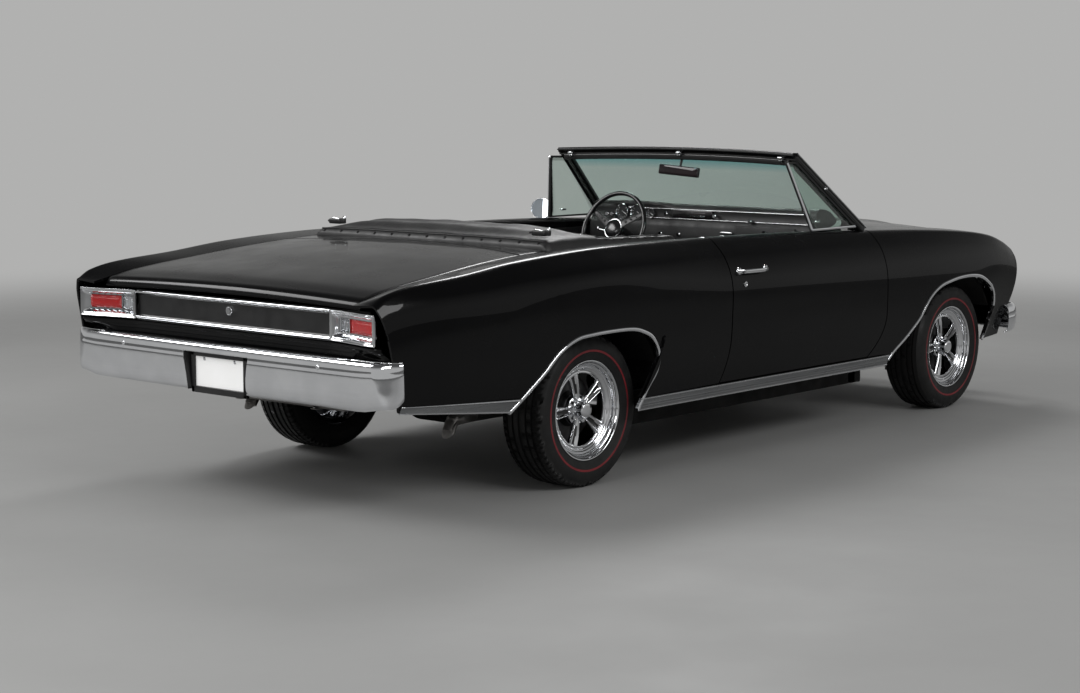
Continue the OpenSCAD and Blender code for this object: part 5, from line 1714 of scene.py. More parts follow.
def plumpPad(name, bm, look, seam, material, body):
    # seam(p) gives how deep the sewing pulls the point p in, from 0 to 1
    mesh = bpy.data.meshes.new(name)
    bm.to_mesh(mesh)
    bm.free()
    pad = bpy.data.objects.new(name, mesh)
    bpy.context.scene.collection.objects.link(pad)
    even = pad.modifiers.new("evenMesh", "REMESH")
    even.mode = "VOXEL"
    even.voxel_size = look["voxel"] * 1
    applyModifiers(pad)
    filling = pad.modifiers.new("filling", "CLOTH")
    filling.settings.quality = 4
    filling.settings.use_pressure = True
    filling.settings.uniform_pressure_force = seats["pressure"]
    filling.settings.effector_weights.gravity = 0
    filling.point_cache.frame_start = 1
    filling.point_cache.frame_end = seats["frames"]
    scene = bpy.context.scene
    for step in range(1, seats["frames"] + 1):
        scene.frame_set(step)
    swollen = [v.co.copy() for v in pad.evaluated_get(
        bpy.context.evaluated_depsgraph_get()).data.vertices]
    pad.modifiers.clear()
    scene.frame_set(1)
    for v, far in zip(pad.data.vertices, swollen):
        move = far - v.co
        if move.length > look["cap"]:
            move *= look["cap"] / move.length
        v.co += move
    finer = pad.modifiers.new("finer", "SUBSURF")
    finer.levels = finer.render_levels = 1
    applyModifiers(pad)
    mesh = pad.data
    mesh.name = name
    normals = [v.normal.copy() for v in mesh.vertices]
    for v, normal in zip(mesh.vertices, normals):
        v.co -= normal * seats["seamDepth"] * seam(v.co, normal)
    mesh.materials.clear()
    mesh.materials.append(material)
    mesh.shade_smooth()
    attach(pad, body)
    return pad


def stitchDepth(distance):
    return math.exp(-(distance / seats["seamWidth"]) ** 2)


def nearest(value, lines):
    return min(abs(value - line * mm) for line in lines)


def seatPads(name, look, middleY, base):
    lean = math.radians(look["lean"])
    x0, w, depth = look["x"] * mm, look["halfWidth"] * mm, look["depth"] * mm
    bolster = look["bolster"] * mm
    crossFront, crossBack = x0 + depth - 0.085, x0 + 0.055

    def cushionSeam(p, normal):
        y = p.y - middleY
        if normal.z < 0.5:
            return 0.0
        inside = abs(y) < bolster and crossBack < p.x < crossFront
        pull = stitchDepth(abs(abs(y) - bolster)) * 1.25 if crossBack < p.x < crossFront + 0.03 else 0
        if inside:
            pull = max(pull, stitchDepth(nearest(y, look["pleats"])))
        if abs(y) < bolster:
            pull = max(pull, stitchDepth(abs(p.x - crossFront)) * 1.25,
                       stitchDepth(abs(p.x - crossBack)) * 1.1)
        return pull

    bm = padForm((x0 + 0.012, middleY - w + 0.010, base), (x0 + depth - 0.010,
                                                           middleY + w - 0.010, 0.506),
                 0.026)
    cushion = plumpPad(f"{name}Cushion", bm, look, cushionSeam, vinyl, "body")
    back = Matrix.Translation((x0, middleY, 0.480)) @ Matrix.Rotation(-lean, 4, "Y")
    fromBack = back.inverted()
    topSeam, lowSeam = look["backHeight"] * mm - 0.085, 0.075

    def backSeam(p, normal):
        q = fromBack @ p
        if (fromBack.to_3x3() @ normal).x < 0.5:
            return 0.0
        pull = 0.0
        if lowSeam - 0.03 < q.z < topSeam + 0.02:
            pull = stitchDepth(abs(abs(q.y) - bolster * 0.96)) * 1.25
        if abs(q.y) < bolster * 0.96:
            pull = max(pull, stitchDepth(abs(q.z - topSeam)) * 1.25)
            if lowSeam < q.z < topSeam:
                pull = max(pull, stitchDepth(nearest(q.y, look["pleats"])))
        return pull

    bm = padForm((-0.104, 0.010 - w, 0.030), (-0.012, w - 0.010, look["backHeight"] * mm - 0.012),
                 0.030,
                 0.09 if name != "rearSeat" else 0.02, back)
    rest = plumpPad(f"{name}Back", bm, look, backSeam, vinyl, "body")
    return cushion, rest, back


for label, side in sides:
    look = seats["front"]
    cushion, rest, back = seatPads("frontSeat_" + label, look, side * look["y"] * mm, 0.420)
    if side > 0:
        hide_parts("front_seats")
    bm = bmesh.new()
    y = side * look["y"] * mm
    addBox(bm, (-0.075, y - 0.205, 0.345), (0.340, y + 0.205, 0.424), 0.012, 3)
    for x in (-0.050, 0.285):
        for dy in (-0.17, 0.17):
            addBox(bm, (x, y + dy - 0.016, 0.306), (x + 0.055, y + dy + 0.016, 0.350), 0.003, 2)
    for dy in (-0.17, 0.17):
        addBox(bm, (-0.070, y + dy - 0.014, 0.303), (0.345, y + dy + 0.014, 0.314), 0.002, 2)
    addPiece(bm, "frontSeatBase_" + label, paddedBlack, "body", "dash")
    bm = bmesh.new()
    addBox(bm, (-0.117, 0.018 - 0.24, 0.05), (-0.109, 0.24 - 0.018, 0.430), 0.006, 3,
           back)
    addPiece(bm, "frontSeatShell_" + label, mouldedBlack, "body", "dash")
    bm = bmesh.new()
    for dy in (-1, 1):  # hinge arms and side rails in bright metal
        rail = smoothPath([(0.300, y + dy * 0.243, 0.436), (0.100, y + dy * 0.246, 0.434),
                           (-0.050, y + dy * 0.246, 0.440), (-0.098, y + dy * 0.244, 0.480),
                           (-0.118, y + dy * 0.240, 0.560)], 24)
        sweep(bm, rail, softLine([(-0.010, -0.003), (0.010, -0.003), (0.010, 0.003), (-0.010,
                                                                                      0.003)],
                                 0.002, 2, True), lambda k: (0, dy, 0))
    addPiece(bm, "frontSeatRails_" + label, brightTrim, "body", "bright_trim")
    bm = bmesh.new()  # lap belt buckle lying beside the seat
    p = Vector((-0.045, side * 0.128, 0.535))
    addBox(bm, p + Vector((-0.028, -0.022, -0.006)), p + Vector((0.028, 0.022, 0.008)), 0.004, 3)
    addBox(bm, p + Vector((-0.014, -0.014, 0.007)), p + Vector((0.014, 0.014, 0.011)), 0.002, 2)
    addRod(bm, p + Vector((-0.02, 0, -0.004)), p + Vector((-0.06, side * 0.01, -0.150)), 0.006)
    addPiece(bm, "beltBuckle_" + label, chrome, "body", "chrome")
look = seats["rear"]
cushion, rest, back = seatPads("rearSeat", look, 0.0, 0.462)
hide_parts("rear_seat")
bm = bmesh.new()
for y0, y1 in ((-0.575, -0.185), (0.185, 0.575)):
    addBox(bm, (-0.700, y0, 0.314), (-0.372, y1, 0.466), 0.012, 3)
addPiece(bm, "rearSeatBase", paddedBlack, "body", "dash")
print("seats built")

# Cabin sides beside the rear seat
for label, side in sides:
    def sidePoint(i, j):
        u, v = i / 60, j / 20
        x = mix(-940, -420, u)
        z = mix(500, 968, v)
        swell = 5 * ease(min(u, 1 - u) * 10) * ease(min(v, 1 - v) * 8)
        swell += 2.0 * abs(math.sin(u * 14 * math.pi)) ** 0.6 * ease(min(v - 0.35,
                                                                         0.80 - v) / 0.03) \
            if 0.35 < v < 0.8 else 0
        return placeOn(side, (x, mix(640, 676, v) - 20 - swell, z))

    quarterTrim = wallPiece("quarterTrim_" + label, 60, 40, lambda i, j: sidePoint(i, j / 2), 0.006,
                            vinyl, "body", "vinyl", bevel=0.0015,
                            toward=lambda p: Vector((p.x, side * 2, p.z)))
print("rear trim built")

# Soft cover over the folded roof, one sewn sheet with arms along both sides of the cabin
boot = {
    "front": -945, "back": -1314, "halfWidth": 684, "armFront": -424, "armInner": 612,
    "steps": (40, 120), "thickness": 0.0026, "edge": 26, "tuck": 44,
}


def bootTop(y, u):
    dome = 1006 + 44 * (1 - abs(y / 690) ** 4) * math.sin(math.pi * clamp(u) ** 0.8)
    bows = 3.4 * math.cos(u * 3 * math.tau) * ease(min(u, 1 - u) * 6) * (1 - abs(y / 690) ** 6)
    sag = 2.2 * math.sin(y / 71 + 2.1 * u) * math.sin(u * math.pi) + 1.3 * math.sin(y / 33 - 3 * u)
    seam = -2.2 * math.exp(-((abs(y) - 560) / 3.5) ** 2) - 2.2 * math.exp(-((u - 0.09) / 0.008) ** 2)
    return dome + bows + sag * 0.8 * ease(min(u, 1 - u) * 8) + seam


def bootPoint(i, j, nu, nw):
    edge, tuck = boot["edge"], boot["tuck"]
    s = mix(-tuck, 369 + tuck, i / nu)  # distance along the cover from its front edge
    y = mix(-boot["halfWidth"], boot["halfWidth"], j / nw)
    u = clamp(s / 369)
    over = max(-s, s - 369, 0)
    x = mix(boot["front"], boot["back"], u)
    z = bootTop(y, u)
    near = min(s, 369 - s)
    z -= 13 * (1 - ease(near / edge)) + over * 0.92
    x += 3 * ease(over / 20) * (1 if s < 0 else -1)
    reach = boot["halfWidth"] - abs(y)
    z -= 14 * (1 - ease(reach / 34)) + 26 * (1 - ease(reach / 9))
    return Vector((x, y, z)) * mm


def armPoint(side, i, j, nu, nw):
    u, v = i / nu, j / nw  # forward along the arm, across it
    x = mix(-968, boot["armFront"], u)
    y = mix(boot["armInner"], boot["halfWidth"], v)
    reach = min(v, 1 - v)
    z = mix(1000, 986, u) - 24 * (1 - ease(reach / 0.22)) - 20 * (1 - ease(reach / 0.07))
    z -= 22 * ease((u - 0.93) / 0.07) ** 1.5
    z += 1.6 * math.sin(x / 26) * ease(reach / 0.3) + 0.8 * math.sin(x / 11 + v * 4)
    return placeOn(side, (x, y, z))


bm = bmesh.new()
nu, nw = boot["steps"]
verts = placedGrid(bm, nu, nw, lambda i, j: bootPoint(i, j, nu, nw))
thicken(bm, verts, lambda i, j, p, n: p - n * math.copysign(boot["thickness"], n.z or 1))
cover = addPiece(bm, "bootCover", coverVinyl, "body", "boot_vinyl", sharp=60)
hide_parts("boot_cover")
for label, side in sides:
    bm = bmesh.new()
    verts = placedGrid(bm, 70, 18, lambda i, j: armPoint(side, i, j, 70, 18))
    thicken(bm, verts, lambda i, j, p, n: p - n * math.copysign(boot["thickness"], n.z or 1))
    addPiece(bm, "bootArm_" + label, coverVinyl, "body", "boot_vinyl", sharp=60)

cordShape = [(0.0032 * math.cos(math.tau * k / 10), 0.0032 * math.sin(math.tau * k / 10))
             for k in range(10)]
bm = bmesh.new()
for u in (0.055, 0.955):
    line = [Vector((mix(boot["front"], boot["back"], u), y,
                    bootTop(y, u) - 13 * (1 - ease(min(u, 1 - u) * 369 / boot["edge"]))
                    + 1.5)) * mm for y in [mix(-655, 655, k / 90) for k in range(91)]]
    sweep(bm, line, cordShape, lambda k: (0, 0, 1))
for side in (1, -1):
    line = [armPoint(side, i, 4, 70, 18) + Vector((0, 0, 0.0016)) for i in range(2, 66)]
    sweep(bm, line, cordShape, lambda k: (0, 0, 1))
addPiece(bm, "bootPiping", coverVinyl, "body", "boot_vinyl")
bm = bmesh.new()
for side in (1, -1):
    for k in range(9):  # snap fasteners along the arms and the back edge
        p = armPoint(side, 6 + 7 * k, 15, 70, 18)
        lathe(bm, [(0.0, 0.0040), (0.0045, 0.0036), (0.0072, 0.0016), (0.0076, -0.001)], 18,
              Matrix.Translation(p) @ Matrix.Rotation(math.radians(-20 * side), 4, "X"))
for k in range(13):
    y = mix(-630, 630, k / 12)
    p = Vector((mix(boot["front"], boot["back"], 0.985), y, bootTop(y, 0.985) - 10)) * mm
    lathe(bm, [(0.0, 0.0040), (0.0045, 0.0036), (0.0072, 0.0016), (0.0076, -0.001)], 18,
          Matrix.Translation(p) @ Matrix.Rotation(math.radians(-24), 4, "Y"))
closeHoles(bm)
addPiece(bm, "bootSnaps", satinBlack, "body", "black_grille")

# Ends of the folded roof's linkage, which stand out of the cover at its back corners
bm = bmesh.new()
bright = bmesh.new()
for side in (1, -1):
    p = Vector((-1.262, side * 0.600, 1.036))
    addBox(bm, p + Vector((-0.016, -0.036, -0.012)), p + Vector((0.016, 0.036, 0.010)), 0.005, 3)
    addBox(bm, p + Vector((-0.012, -0.058, -0.010)), p + Vector((0.004, -0.030, 0.014)), 0.004, 3)
    addRod(bm, p + Vector((0.0, 0.034, 0.004)), p + Vector((0.020, 0.070, -0.002)), 0.006)
    addRod(bright, p + Vector((0.006, -0.010, 0.008)), p + Vector((0.006, 0.030, 0.013)), 0.005,
           0.004)
    lathe(bright, [(0.0, 0.012), (0.006, 0.011), (0.008, 0.004), (0.009, -0.004)], 18,
          Matrix.Translation(p + Vector((0.004, -0.044, 0.012))))
    q = Vector((-0.962, side * 0.560, 1.010))
    addBox(bright, q + Vector((-0.012, -0.018, -0.008)), q + Vector((0.012, 0.018, 0.005)), 0.004,
           3)
closeHoles(bright)
addPiece(bm, "roofLinkEnds", satinBlack, "body", "black_grille")
addPiece(bright, "roofLinkCatches", chrome, "body", "chrome")
print("boot cover built")

# Finishes on the parts whose solids already have the right shape
coverings = {
    "floor_pan": chassisPaint, "wheel_wells": chassisPaint,
    "cowl": satinBlack, "rear_axle": chassisPaint, "suspension": chassisPaint, "exhaust": dullSteel,
    "knuckle_left": castIron, "knuckle_right": castIron,
}
for node, material in coverings.items():
    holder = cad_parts[node]
    for k in range(max(1, len(holder.material_slots))):
        if k < len(holder.material_slots):
            holder.material_slots[k].material = material

# Frame rails and crossmembers of pressed steel, and the fuel tank with its seam and straps
frameRails = [((-880, 1010), (620, 700), (190, 288)), ((940, 1060), (330, 700), (190, 288)),
              ((1000, 1090), (330, 400), (190, 380)), ((1060, 2330), (330, 400), (290, 380)),
              ((-900, -840), (430, 700), (190, 288)), ((-960, -893), (430, 500), (190, 470)),
              ((-2060, -930), (430, 500), (390, 470)), ((-2330, -2055), (432, 498), (422, 470))]
crossMembers = [((1640, 1740), 400, (210, 292)), ((2230, 2300), 330, (300, 370)),
                ((430, 510), 620, (196, 246)), ((-900, -840), 430, (196, 270)),
                ((-1720, -1650), 430, (400, 460)), ((-2330, -2285), 432, (424, 466))]
bm = bmesh.new()
for (x0, x1), (y0, y1), (z0, z1) in frameRails:
    for side in (1, -1):
        a, b = sorted((y0 * side, y1 * side))
        addBox(bm, Vector((x0, a, z0)) * mm, Vector((x1, b, z1)) * mm, 0.006, 3)
for (x0, x1), half, (z0, z1) in crossMembers:
    addBox(bm, Vector((x0, -half, z0)) * mm, Vector((x1, half, z1)) * mm, 0.008, 3)
for side in (1, -1):
    for x in (-1900, -1500, -700, -300, 100, 500, 1300, 2100):  # body mounts on the rails
        y = 0.465 if x < -900 else (0.660 if x < 1000 else 0.365)
        top = 0.470 if x < -900 else (0.288 if x < 1000 else 0.380)
        lathe(bm, [(0.0, 0.006), (0.030, 0.006), (0.034, 0.002), (0.034, -0.002), (0.0, -0.002)],
              24,
              Matrix.Translation((x * mm, side * y, top)))
rails = addPiece(bm, "frameRails", chassisPaint, "body", "chassis")
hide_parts("frame")
bm = bmesh.new()
addBox(bm, (-2.185, -0.390, 0.372), (-1.790, 0.390, 0.438), 0.026, 4)
addBox(bm, (-2.200, -0.400, 0.404), (-1.780, 0.400, 0.4075), 0.0015, 2)
for y in (-0.22, 0.22):
    addBox(bm, (-2.188, y - 0.016, 0.3695), (-1.786, y + 0.016, 0.3725), 0.001, 1)
lathe(bm, [(0.0, -0.004), (0.012, -0.004), (0.012, 0.004), (0.0, 0.004)], 6,
      Matrix.Translation((-2.0, 0, 0.369)))
tank = addPiece(bm, "fuelTankShell", dullSteel, "body", "chassis")
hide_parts("fuel_tank")

# Engine and gearbox, with what sits around them under the hood
motor = {"tilt": 42, "cleanerX": 1500, "cleanerRadius": 0.176, "fanX": 1900}
bm = bmesh.new()
addBox(bm, (1.205, -0.165, 0.430), (1.775, 0.165, 0.610), 0.018, 3)
for side in (1, -1):
    turn = (Matrix.Translation((1.4975, side * 0.165, 0.628))
            @ Matrix.Rotation(math.radians(-motor["tilt"] * side), 4, "X"))
    addBox(bm, (-0.275, -0.072, -0.075), (0.275, 0.072, 0.062), 0.012, 3, turn)
    addRod(bm, (1.720, side * 0.10, 0.50), (1.800, side * 0.10, 0.50), 0.035, sides=24)
    for k in range(4):
        addRod(bm, turn @ Vector((-0.195 + 0.13 * k, side * 0.066, -0.02)),
               turn @ Vector((-0.195 + 0.13 * k, side * 0.094, -0.03)), 0.012)
addBox(bm, (1.285, -0.100, 0.600), (1.705, 0.100, 0.712), 0.020, 3)
addBox(bm, (1.170, -0.190, 0.330), (1.215, 0.190, 0.600), 0.016, 3)
addBox(bm, (0.960, -0.110, 0.290), (1.180, 0.110, 0.410), 0.030, 4)
addBox(bm, (0.600, -0.088, 0.285), (0.965, 0.088, 0.405), 0.028, 4)
addRod(bm, (0.605, 0, 0.338), (0.522, 0, 0.336), 0.058, 0.042, 32)
block = addPiece(bm, "engineBlock", castIron, "body", "cast")
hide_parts("engine")
bm = bmesh.new()
addBox(bm, (1.225, -0.118, 0.302), (1.640, 0.118, 0.436), 0.020, 3)
addBox(bm, (0.640, -0.100, 0.264), (0.900, 0.100, 0.292), 0.010, 3)
addPiece(bm, "oilPans", chassisPaint, "body", "chassis")
bm = bmesh.new()
for side in (1, -1):
    turn = (Matrix.Translation((1.4975, side * 0.165, 0.628))
            @ Matrix.Rotation(math.radians(-motor["tilt"] * side), 4, "X"))
    addBox(bm, (-0.268, -0.062, 0.060), (0.268, 0.062, 0.074), 0.004, 2, turn)
    addBox(bm, (-0.262, -0.056, 0.072), (0.262, 0.056, 0.132), 0.020, 4, turn)
    for k in range(5):
        addBox(bm, (-0.200, -0.036 + 0.016 * k, 0.130), (0.200, -0.030 + 0.016 * k, 0.1345),
               0.002, 1,
               turn)
    addRod(bm, turn @ Vector((0.215, 0, 0.130)), turn @ Vector((0.215, 0, 0.158)), 0.022, sides=24)
addPiece(bm, "valveCovers", chrome, "body", "chrome")
cleaner = Matrix.Translation((motor["cleanerX"] * mm, 0, 0.786))
r = motor["cleanerRadius"]
lathePiece("airCleanerLid", [(0.0, 0.070), (0.010, 0.070), (0.013, 0.062), (0.030, 0.060), (0.120,
                                                                                            0.062),
                             (r - 0.006, 0.058), (r + 0.002, 0.050), (r - 0.004, 0.050), (0.0,
                                                                                          0.054)],
           72, cleaner, chrome, "body", "chrome")
lathePiece("airCleanerElement", [(0.0, 0.052), (r - 0.016, 0.052)]
           + [(r - 0.016 + 0.003 * (k % 2), 0.050 - 0.046 * k / 15) for k in range(16)] + [(0.0,
                                                                                            0.002)],
           72, cleaner, sealRubber, "body", "black_grille")
lathePiece("airCleanerBase", [(0.0, 0.006), (r - 0.002, 0.006), (r, 0.002), (r - 0.012, -0.004),
                              (0.070, -0.010), (0.066, -0.018), (0.0, -0.018)], 72, cleaner, chrome,
           "body", "chrome")
bm = bmesh.new()
addBox(bm, (1.415, -0.075, 0.708), (1.585, 0.075, 0.728), 0.006, 2)
addBox(bm, (1.425, -0.066, 0.726), (1.575, 0.066, 0.770), 0.012, 3)
addBox(bm, (1.395, -0.045, 0.728), (1.430, 0.045, 0.758), 0.008, 2)
addRod(bm, (1.500, 0.064, 0.745), (1.500, 0.090, 0.745), 0.016, sides=20)
addPiece(bm, "carburettor", argent, "body", "cast")
bm = bmesh.new()
lathe(bm, [(0.0, 0.100), (0.020, 0.098), (0.040, 0.088), (0.044, 0.060), (0.036, 0.052), (0.034,
                                                                                          0.020),
           (0.020, 0.014), (0.018, -0.060)], 32, Matrix.Translation((1.238, 0.0, 0.660)))
for k in range(8):
    a = math.tau * (k + 0.5) / 8
    lathe(bm, [(0.0, 0.022), (0.006, 0.022), (0.0075, 0.016), (0.0075, 0.0)], 12,
          Matrix.Translation((1.238 + 0.028 * math.cos(a), 0.028 * math.sin(a), 0.755)))
closeHoles(bm)
leadShape = [(0.0038 * math.cos(math.tau * k / 8),
              0.0038 * math.sin(math.tau * k / 8)) for k in range(8)]
for side in (1, -1):
    for k in range(4):
        a = side * (0.3 + 0.75 * k)
        x = 1.690 - 0.13 * (3 - k)
        line = smoothPath([(1.238 + 0.028 * math.cos(a), 0.028 * math.sin(a), 0.774),
                           (1.238 + 0.050 * math.cos(a), side * 0.070, 0.800 - 0.006 * k),
                           (mix(1.26, x, 0.5), side * (0.135 + 0.008 * k), 0.770),
                           (x - 0.02, side * (0.262 + 0.004 * k), 0.690), (x, side * 0.262, 0.628),
                           (x, side * 0.246, 0.606)], 30)
        sweep(bm, line, leadShape, lambda n: (0.2, side * 0.4, 1))
addPiece(bm, "distributorAndLeads", mouldedBlack, "body", "black_grille")
bm = bmesh.new()
pipe = [(0.021 * math.cos(math.tau * k / 14),
         0.021 * math.sin(math.tau * k / 14)) for k in range(14)]
for side in (1, -1):
    for k in range(4):
        x = 1.690 - 0.13 * (3 - k)
        line = smoothPath([(x, side * 0.215, 0.590), (x - 0.01, side * 0.262, 0.570),
                           (x - 0.04, side * 0.280, 0.520)], 12)
        sweep(bm, line, pipe, lambda n: (1, 0, 0))
    line = smoothPath([(1.700, side * 0.280, 0.520), (1.500, side * 0.284, 0.510),
                       (1.320, side * 0.288, 0.470), (1.262, side * 0.296, 0.380),
                       (1.240, side * 0.300, 0.290)], 30)
    sweep(bm, line, [(s * 1.35, o * 1.35) for s, o in pipe], lambda n: (0, side, 0))
addPiece(bm, "exhaustManifolds", castIron, "body", "cast")

alongX = Matrix.Rotation(math.radians(90), 4, "Y")
bm = bmesh.new()
pulleys = ((0.0, 0.455, 0.078), (0.0, 0.610, 0.062), (0.178, 0.640, 0.036), (-0.170, 0.600, 0.055))
for y, z, r in pulleys:
    lathe(bm, [(0.0, 0.0), (r * 0.4, 0.0), (r * 0.5, 0.006), (r * 0.9, 0.006), (r, 0.0), (r, 0.004),
               (r * 0.90, 0.012), (r, 0.020), (r, 0.024), (0.3 * r, 0.024), (0.25 * r, 0.034),
               (0.0, 0.034)],
          40, Matrix.Translation((1.806, y, z)) @ alongX)
addPiece(bm, "pulleys", dullSteel, "body", "steel")
bm = bmesh.new()
loop = []
for (y, z, r), start, stop in ((pulleys[0], 200, 340), (pulleys[2], -20, 100), (pulleys[3], 80,
                                                                                200)):
    loop += [(1.818, y + r * math.cos(math.radians(mix(start, stop, k / 8))),
              z + r * math.sin(math.radians(mix(start, stop, k / 8)))) for k in range(9)]
loop = smoothPath(loop + loop[:1], 100)
sweep(bm, loop, [(-0.004, -0.003), (0.004, -0.003), (0.004, 0.003), (-0.004, 0.003)],
      lambda k: loop[k] - Vector((1.818, 0, 0.56)))
hose = [(0.021 * math.cos(math.tau * k / 16),
         0.021 * math.sin(math.tau * k / 16)) for k in range(16)]
sweep(bm, smoothPath([(1.760, 0.05, 0.700), (1.820, 0.05, 0.742), (1.960, 0.09, 0.765),
                      (2.100, 0.14, 0.752), (2.204, 0.15, 0.735)], 30), hose, lambda k: (0, 1, 0))
sweep(bm, smoothPath([(1.812, -0.075, 0.560), (1.900, -0.16, 0.480), (2.050, -0.21, 0.425),
                      (2.204, -0.22, 0.410)], 30), hose, lambda k: (0, 1, 0))
addPiece(bm, "hosesAndBelt", sealRubber, "body", "black_grille")
bm = bmesh.new()
for y, z, r, depth in ((0.178, 0.640, 0.062, 0.130), (-0.170, 0.600, 0.052, 0.150)):
    lathe(bm, [(0.0, 0.0), (r * 0.8, 0.0), (r, 0.012), (r, depth - 0.02), (r * 0.8, depth), (0.0,
                                                                                             depth)], 36,
          Matrix.Translation((1.800 - depth, y, z)) @ alongX)
addPiece(bm, "alternatorAndPump", argent, "body", "cast")
bm = bmesh.new()
for k in range(5):
    turn = (Matrix.Translation((motor["fanX"] * mm, 0, 0.610)) @ alongX
            @ Matrix.Rotation(math.tau * k / 5, 4, "Z"))

    def bladePoint(i, j):
        u, w = i / 8, j / 3 - 1
        r = mix(0.045, 0.205, u)
        half = mix(0.020, 0.044, u)
        return turn @ Vector((r, w * half, w * mix(0.008, 0.018, u) + 0.004 * w * w))

    verts = placedGrid(bm, 8, 6, bladePoint)
    thicken(bm, verts, lambda i, j, p, n: p + Vector((0.002, 0, 0)))
    for v in verts:
        v[bm.verts.layers.int["along"]] = -1
lathe(bm, [(0.0, -0.012), (0.050, -0.012), (0.056, -0.004), (0.056, 0.010), (0.040, 0.018), (0.0,
                                                                                             0.020)],
      36, Matrix.Translation((motor["fanX"] * mm, 0, 0.610)) @ alongX)
addRod(bm, (1.838, 0, 0.610), (1.895, 0, 0.610), 0.018)
addPiece(bm, "coolingFan", argent, "body", "steel")
lathePiece("fanShroud", [(0.222, 0.0), (0.232, 0.0), (0.234, 0.070), (0.262, 0.300), (0.258, 0.300),
                         (0.226, 0.072)], 64,
           Matrix.Translation((1.904, 0, 0.610)) @ alongX, mouldedBlack, "body", "black_grille",
           closed=True)

bm = bmesh.new()
lathe(bm, [(0.0, 0.0), (0.100, 0.004), (0.112, 0.018), (0.112, 0.030), (0.100, 0.050), (0.060,
                                                                                        0.066),
           (0.030, 0.070), (0.0, 0.070)], 48, Matrix.Translation((1.000, 0.400, 0.700)) @ alongX)
addPiece(bm, "brakeBooster", brightTrim, "body", "steel")
bm = bmesh.new()
addBox(bm, (1.066, 0.366, 0.672), (1.190, 0.434, 0.748), 0.010, 3)
addBox(bm, (1.072, 0.362, 0.745), (1.184, 0.438, 0.762), 0.005, 2)
addBox(bm, (1.000, -0.520, 0.560), (1.100, -0.290, 0.770), 0.020, 4)
lathe(bm, [(0.0, 0.0), (0.060, 0.0), (0.066, 0.010), (0.066, 0.090), (0.058, 0.100), (0.0,
                                                                                      0.100)], 32,
      Matrix.Translation((1.100, -0.405, 0.660)) @ alongX)
addPiece(bm, "masterCylinderAndHeater", satinBlack, "body", "chassis")
bm = bmesh.new()
addBox(bm, (2.108, -0.560, 0.560), (2.196, -0.330, 0.740), 0.008, 3)
for k in range(6):
    lathe(bm, [(0.0, 0.012), (0.010, 0.012), (0.012, 0.008), (0.012, -0.002)], 16,
          Matrix.Translation((2.135, -0.535 + 0.036 * k, 0.740)))
closeHoles(bm)
for y in (-0.535, -0.355):
    addRod(bm, (2.172, y, 0.738), (2.172, y, 0.758), 0.009)
addPiece(bm, "battery", mouldedBlack, "body", "black_grille")
print("engine built")

# Trunk floor mat, back wall and the wall behind the rear seat
trunk = {"fromX": -2336, "toX": -1330, "halfWidth": 574}
bm = bmesh.new()
verts = placedGrid(bm, 60, 60, lambda i, j: Vector((
    mix(trunk["fromX"], trunk["toX"], i / 60), mix(-trunk["halfWidth"], trunk["halfWidth"], j / 60),
    492.5 + 0.9 * (i % 2) * (0 < i < 60) + 0.6 * math.sin(i / 5) * math.sin(j / 7))) * mm)
thicken(bm, verts, lambda i, j, p, n: Vector((p.x, p.y, 0.4905)))
addPiece(bm, "trunkMat", sealRubber, "body", "vinyl")
bm = bmesh.new()
addBox(bm, (-2.362, -0.720, 0.478), (-2.350, 0.720, 0.806), 0.003, 2)
for k in range(9):
    y = -0.60 + 0.15 * k
    addBox(bm, (-2.352, y - 0.012, 0.500), (-2.344, y + 0.012, 0.785), 0.003, 2)
addPiece(bm, "trunkBackWall", blackPaint, "body", "paint")
bm = bmesh.new()
addBox(bm, (-0.972, -0.600, 0.492), (-0.960, 0.600, 0.936), 0.003, 2)
addPiece(bm, "seatBackWall", satinBlack, "body", "chassis")

# Chromed tips on the tailpipes
bm = bmesh.new()
for side in (1, -1):
    tip = smoothPath([(-1.740, side * 0.5795, 0.3165), (-1.778, side * 0.583, 0.312),
                      (-1.792, side * 0.5845, 0.292), (-1.801, side * 0.5852, 0.268)], 20)
    tube = [(0.0292 * math.cos(math.tau * k / 28), 0.0292 * math.sin(math.tau * k / 28))
            for k in range(28)]
    verts = placedGrid(bm, 19, 28, lambda i, j: (tip[i] + Vector((0, tube[j % 28][0], 0))
                                                 + Vector((0.72, 0, 0.69)) * tube[j % 28][1]))
    bmesh.ops.remove_doubles(bm, verts=verts, dist=0.00001)
    verts = [v for v in verts if v.is_valid]
    for v in verts:
        v.tag = True
bmesh.ops.solidify(bm, geom=bm.faces[:], thickness=0.0016)
addPiece(bm, "exhaustTips", dullSteel, "body", "chrome", merge=0)
print("underside and trunk built")

# Floor, light and camera
studio = {
    "floorTone": (0.26, 0.26, 0.256), "backTone": (0.44, 0.44, 0.435), "ambient": 0.40,
    "overheadTone": (0.08, 0.08, 0.08), "overhead": (0.17, 0.50),
    "fade": (4.5, 11.0),  # metres from the car over which the floor runs into the background
    "lamps": [  # position, aim, size, watts
        ((-5.5, 4.5, 5.2), (-1.6, 0.0, 0.8), (5.5, 2.2), 360),
        ((-1.0, -7.0, 4.6), (0.3, -0.5, 0.6), (6.0, 1.6), 230),
        ((4.5, 3.0, 5.5), (1.5, 0.0, 0.8), (2.5, 2.0), 190),
        ((-7.0, -1.2, 2.6), (-2.4, 0.0, 0.6), (2.2, 1.4), 90),
    ],
    "camera": (-7.840, -6.250, 1.614), "yaw": 0.7096, "pitch": -0.1203, "roll": 0.0021,
    "lens": 70.4,
}


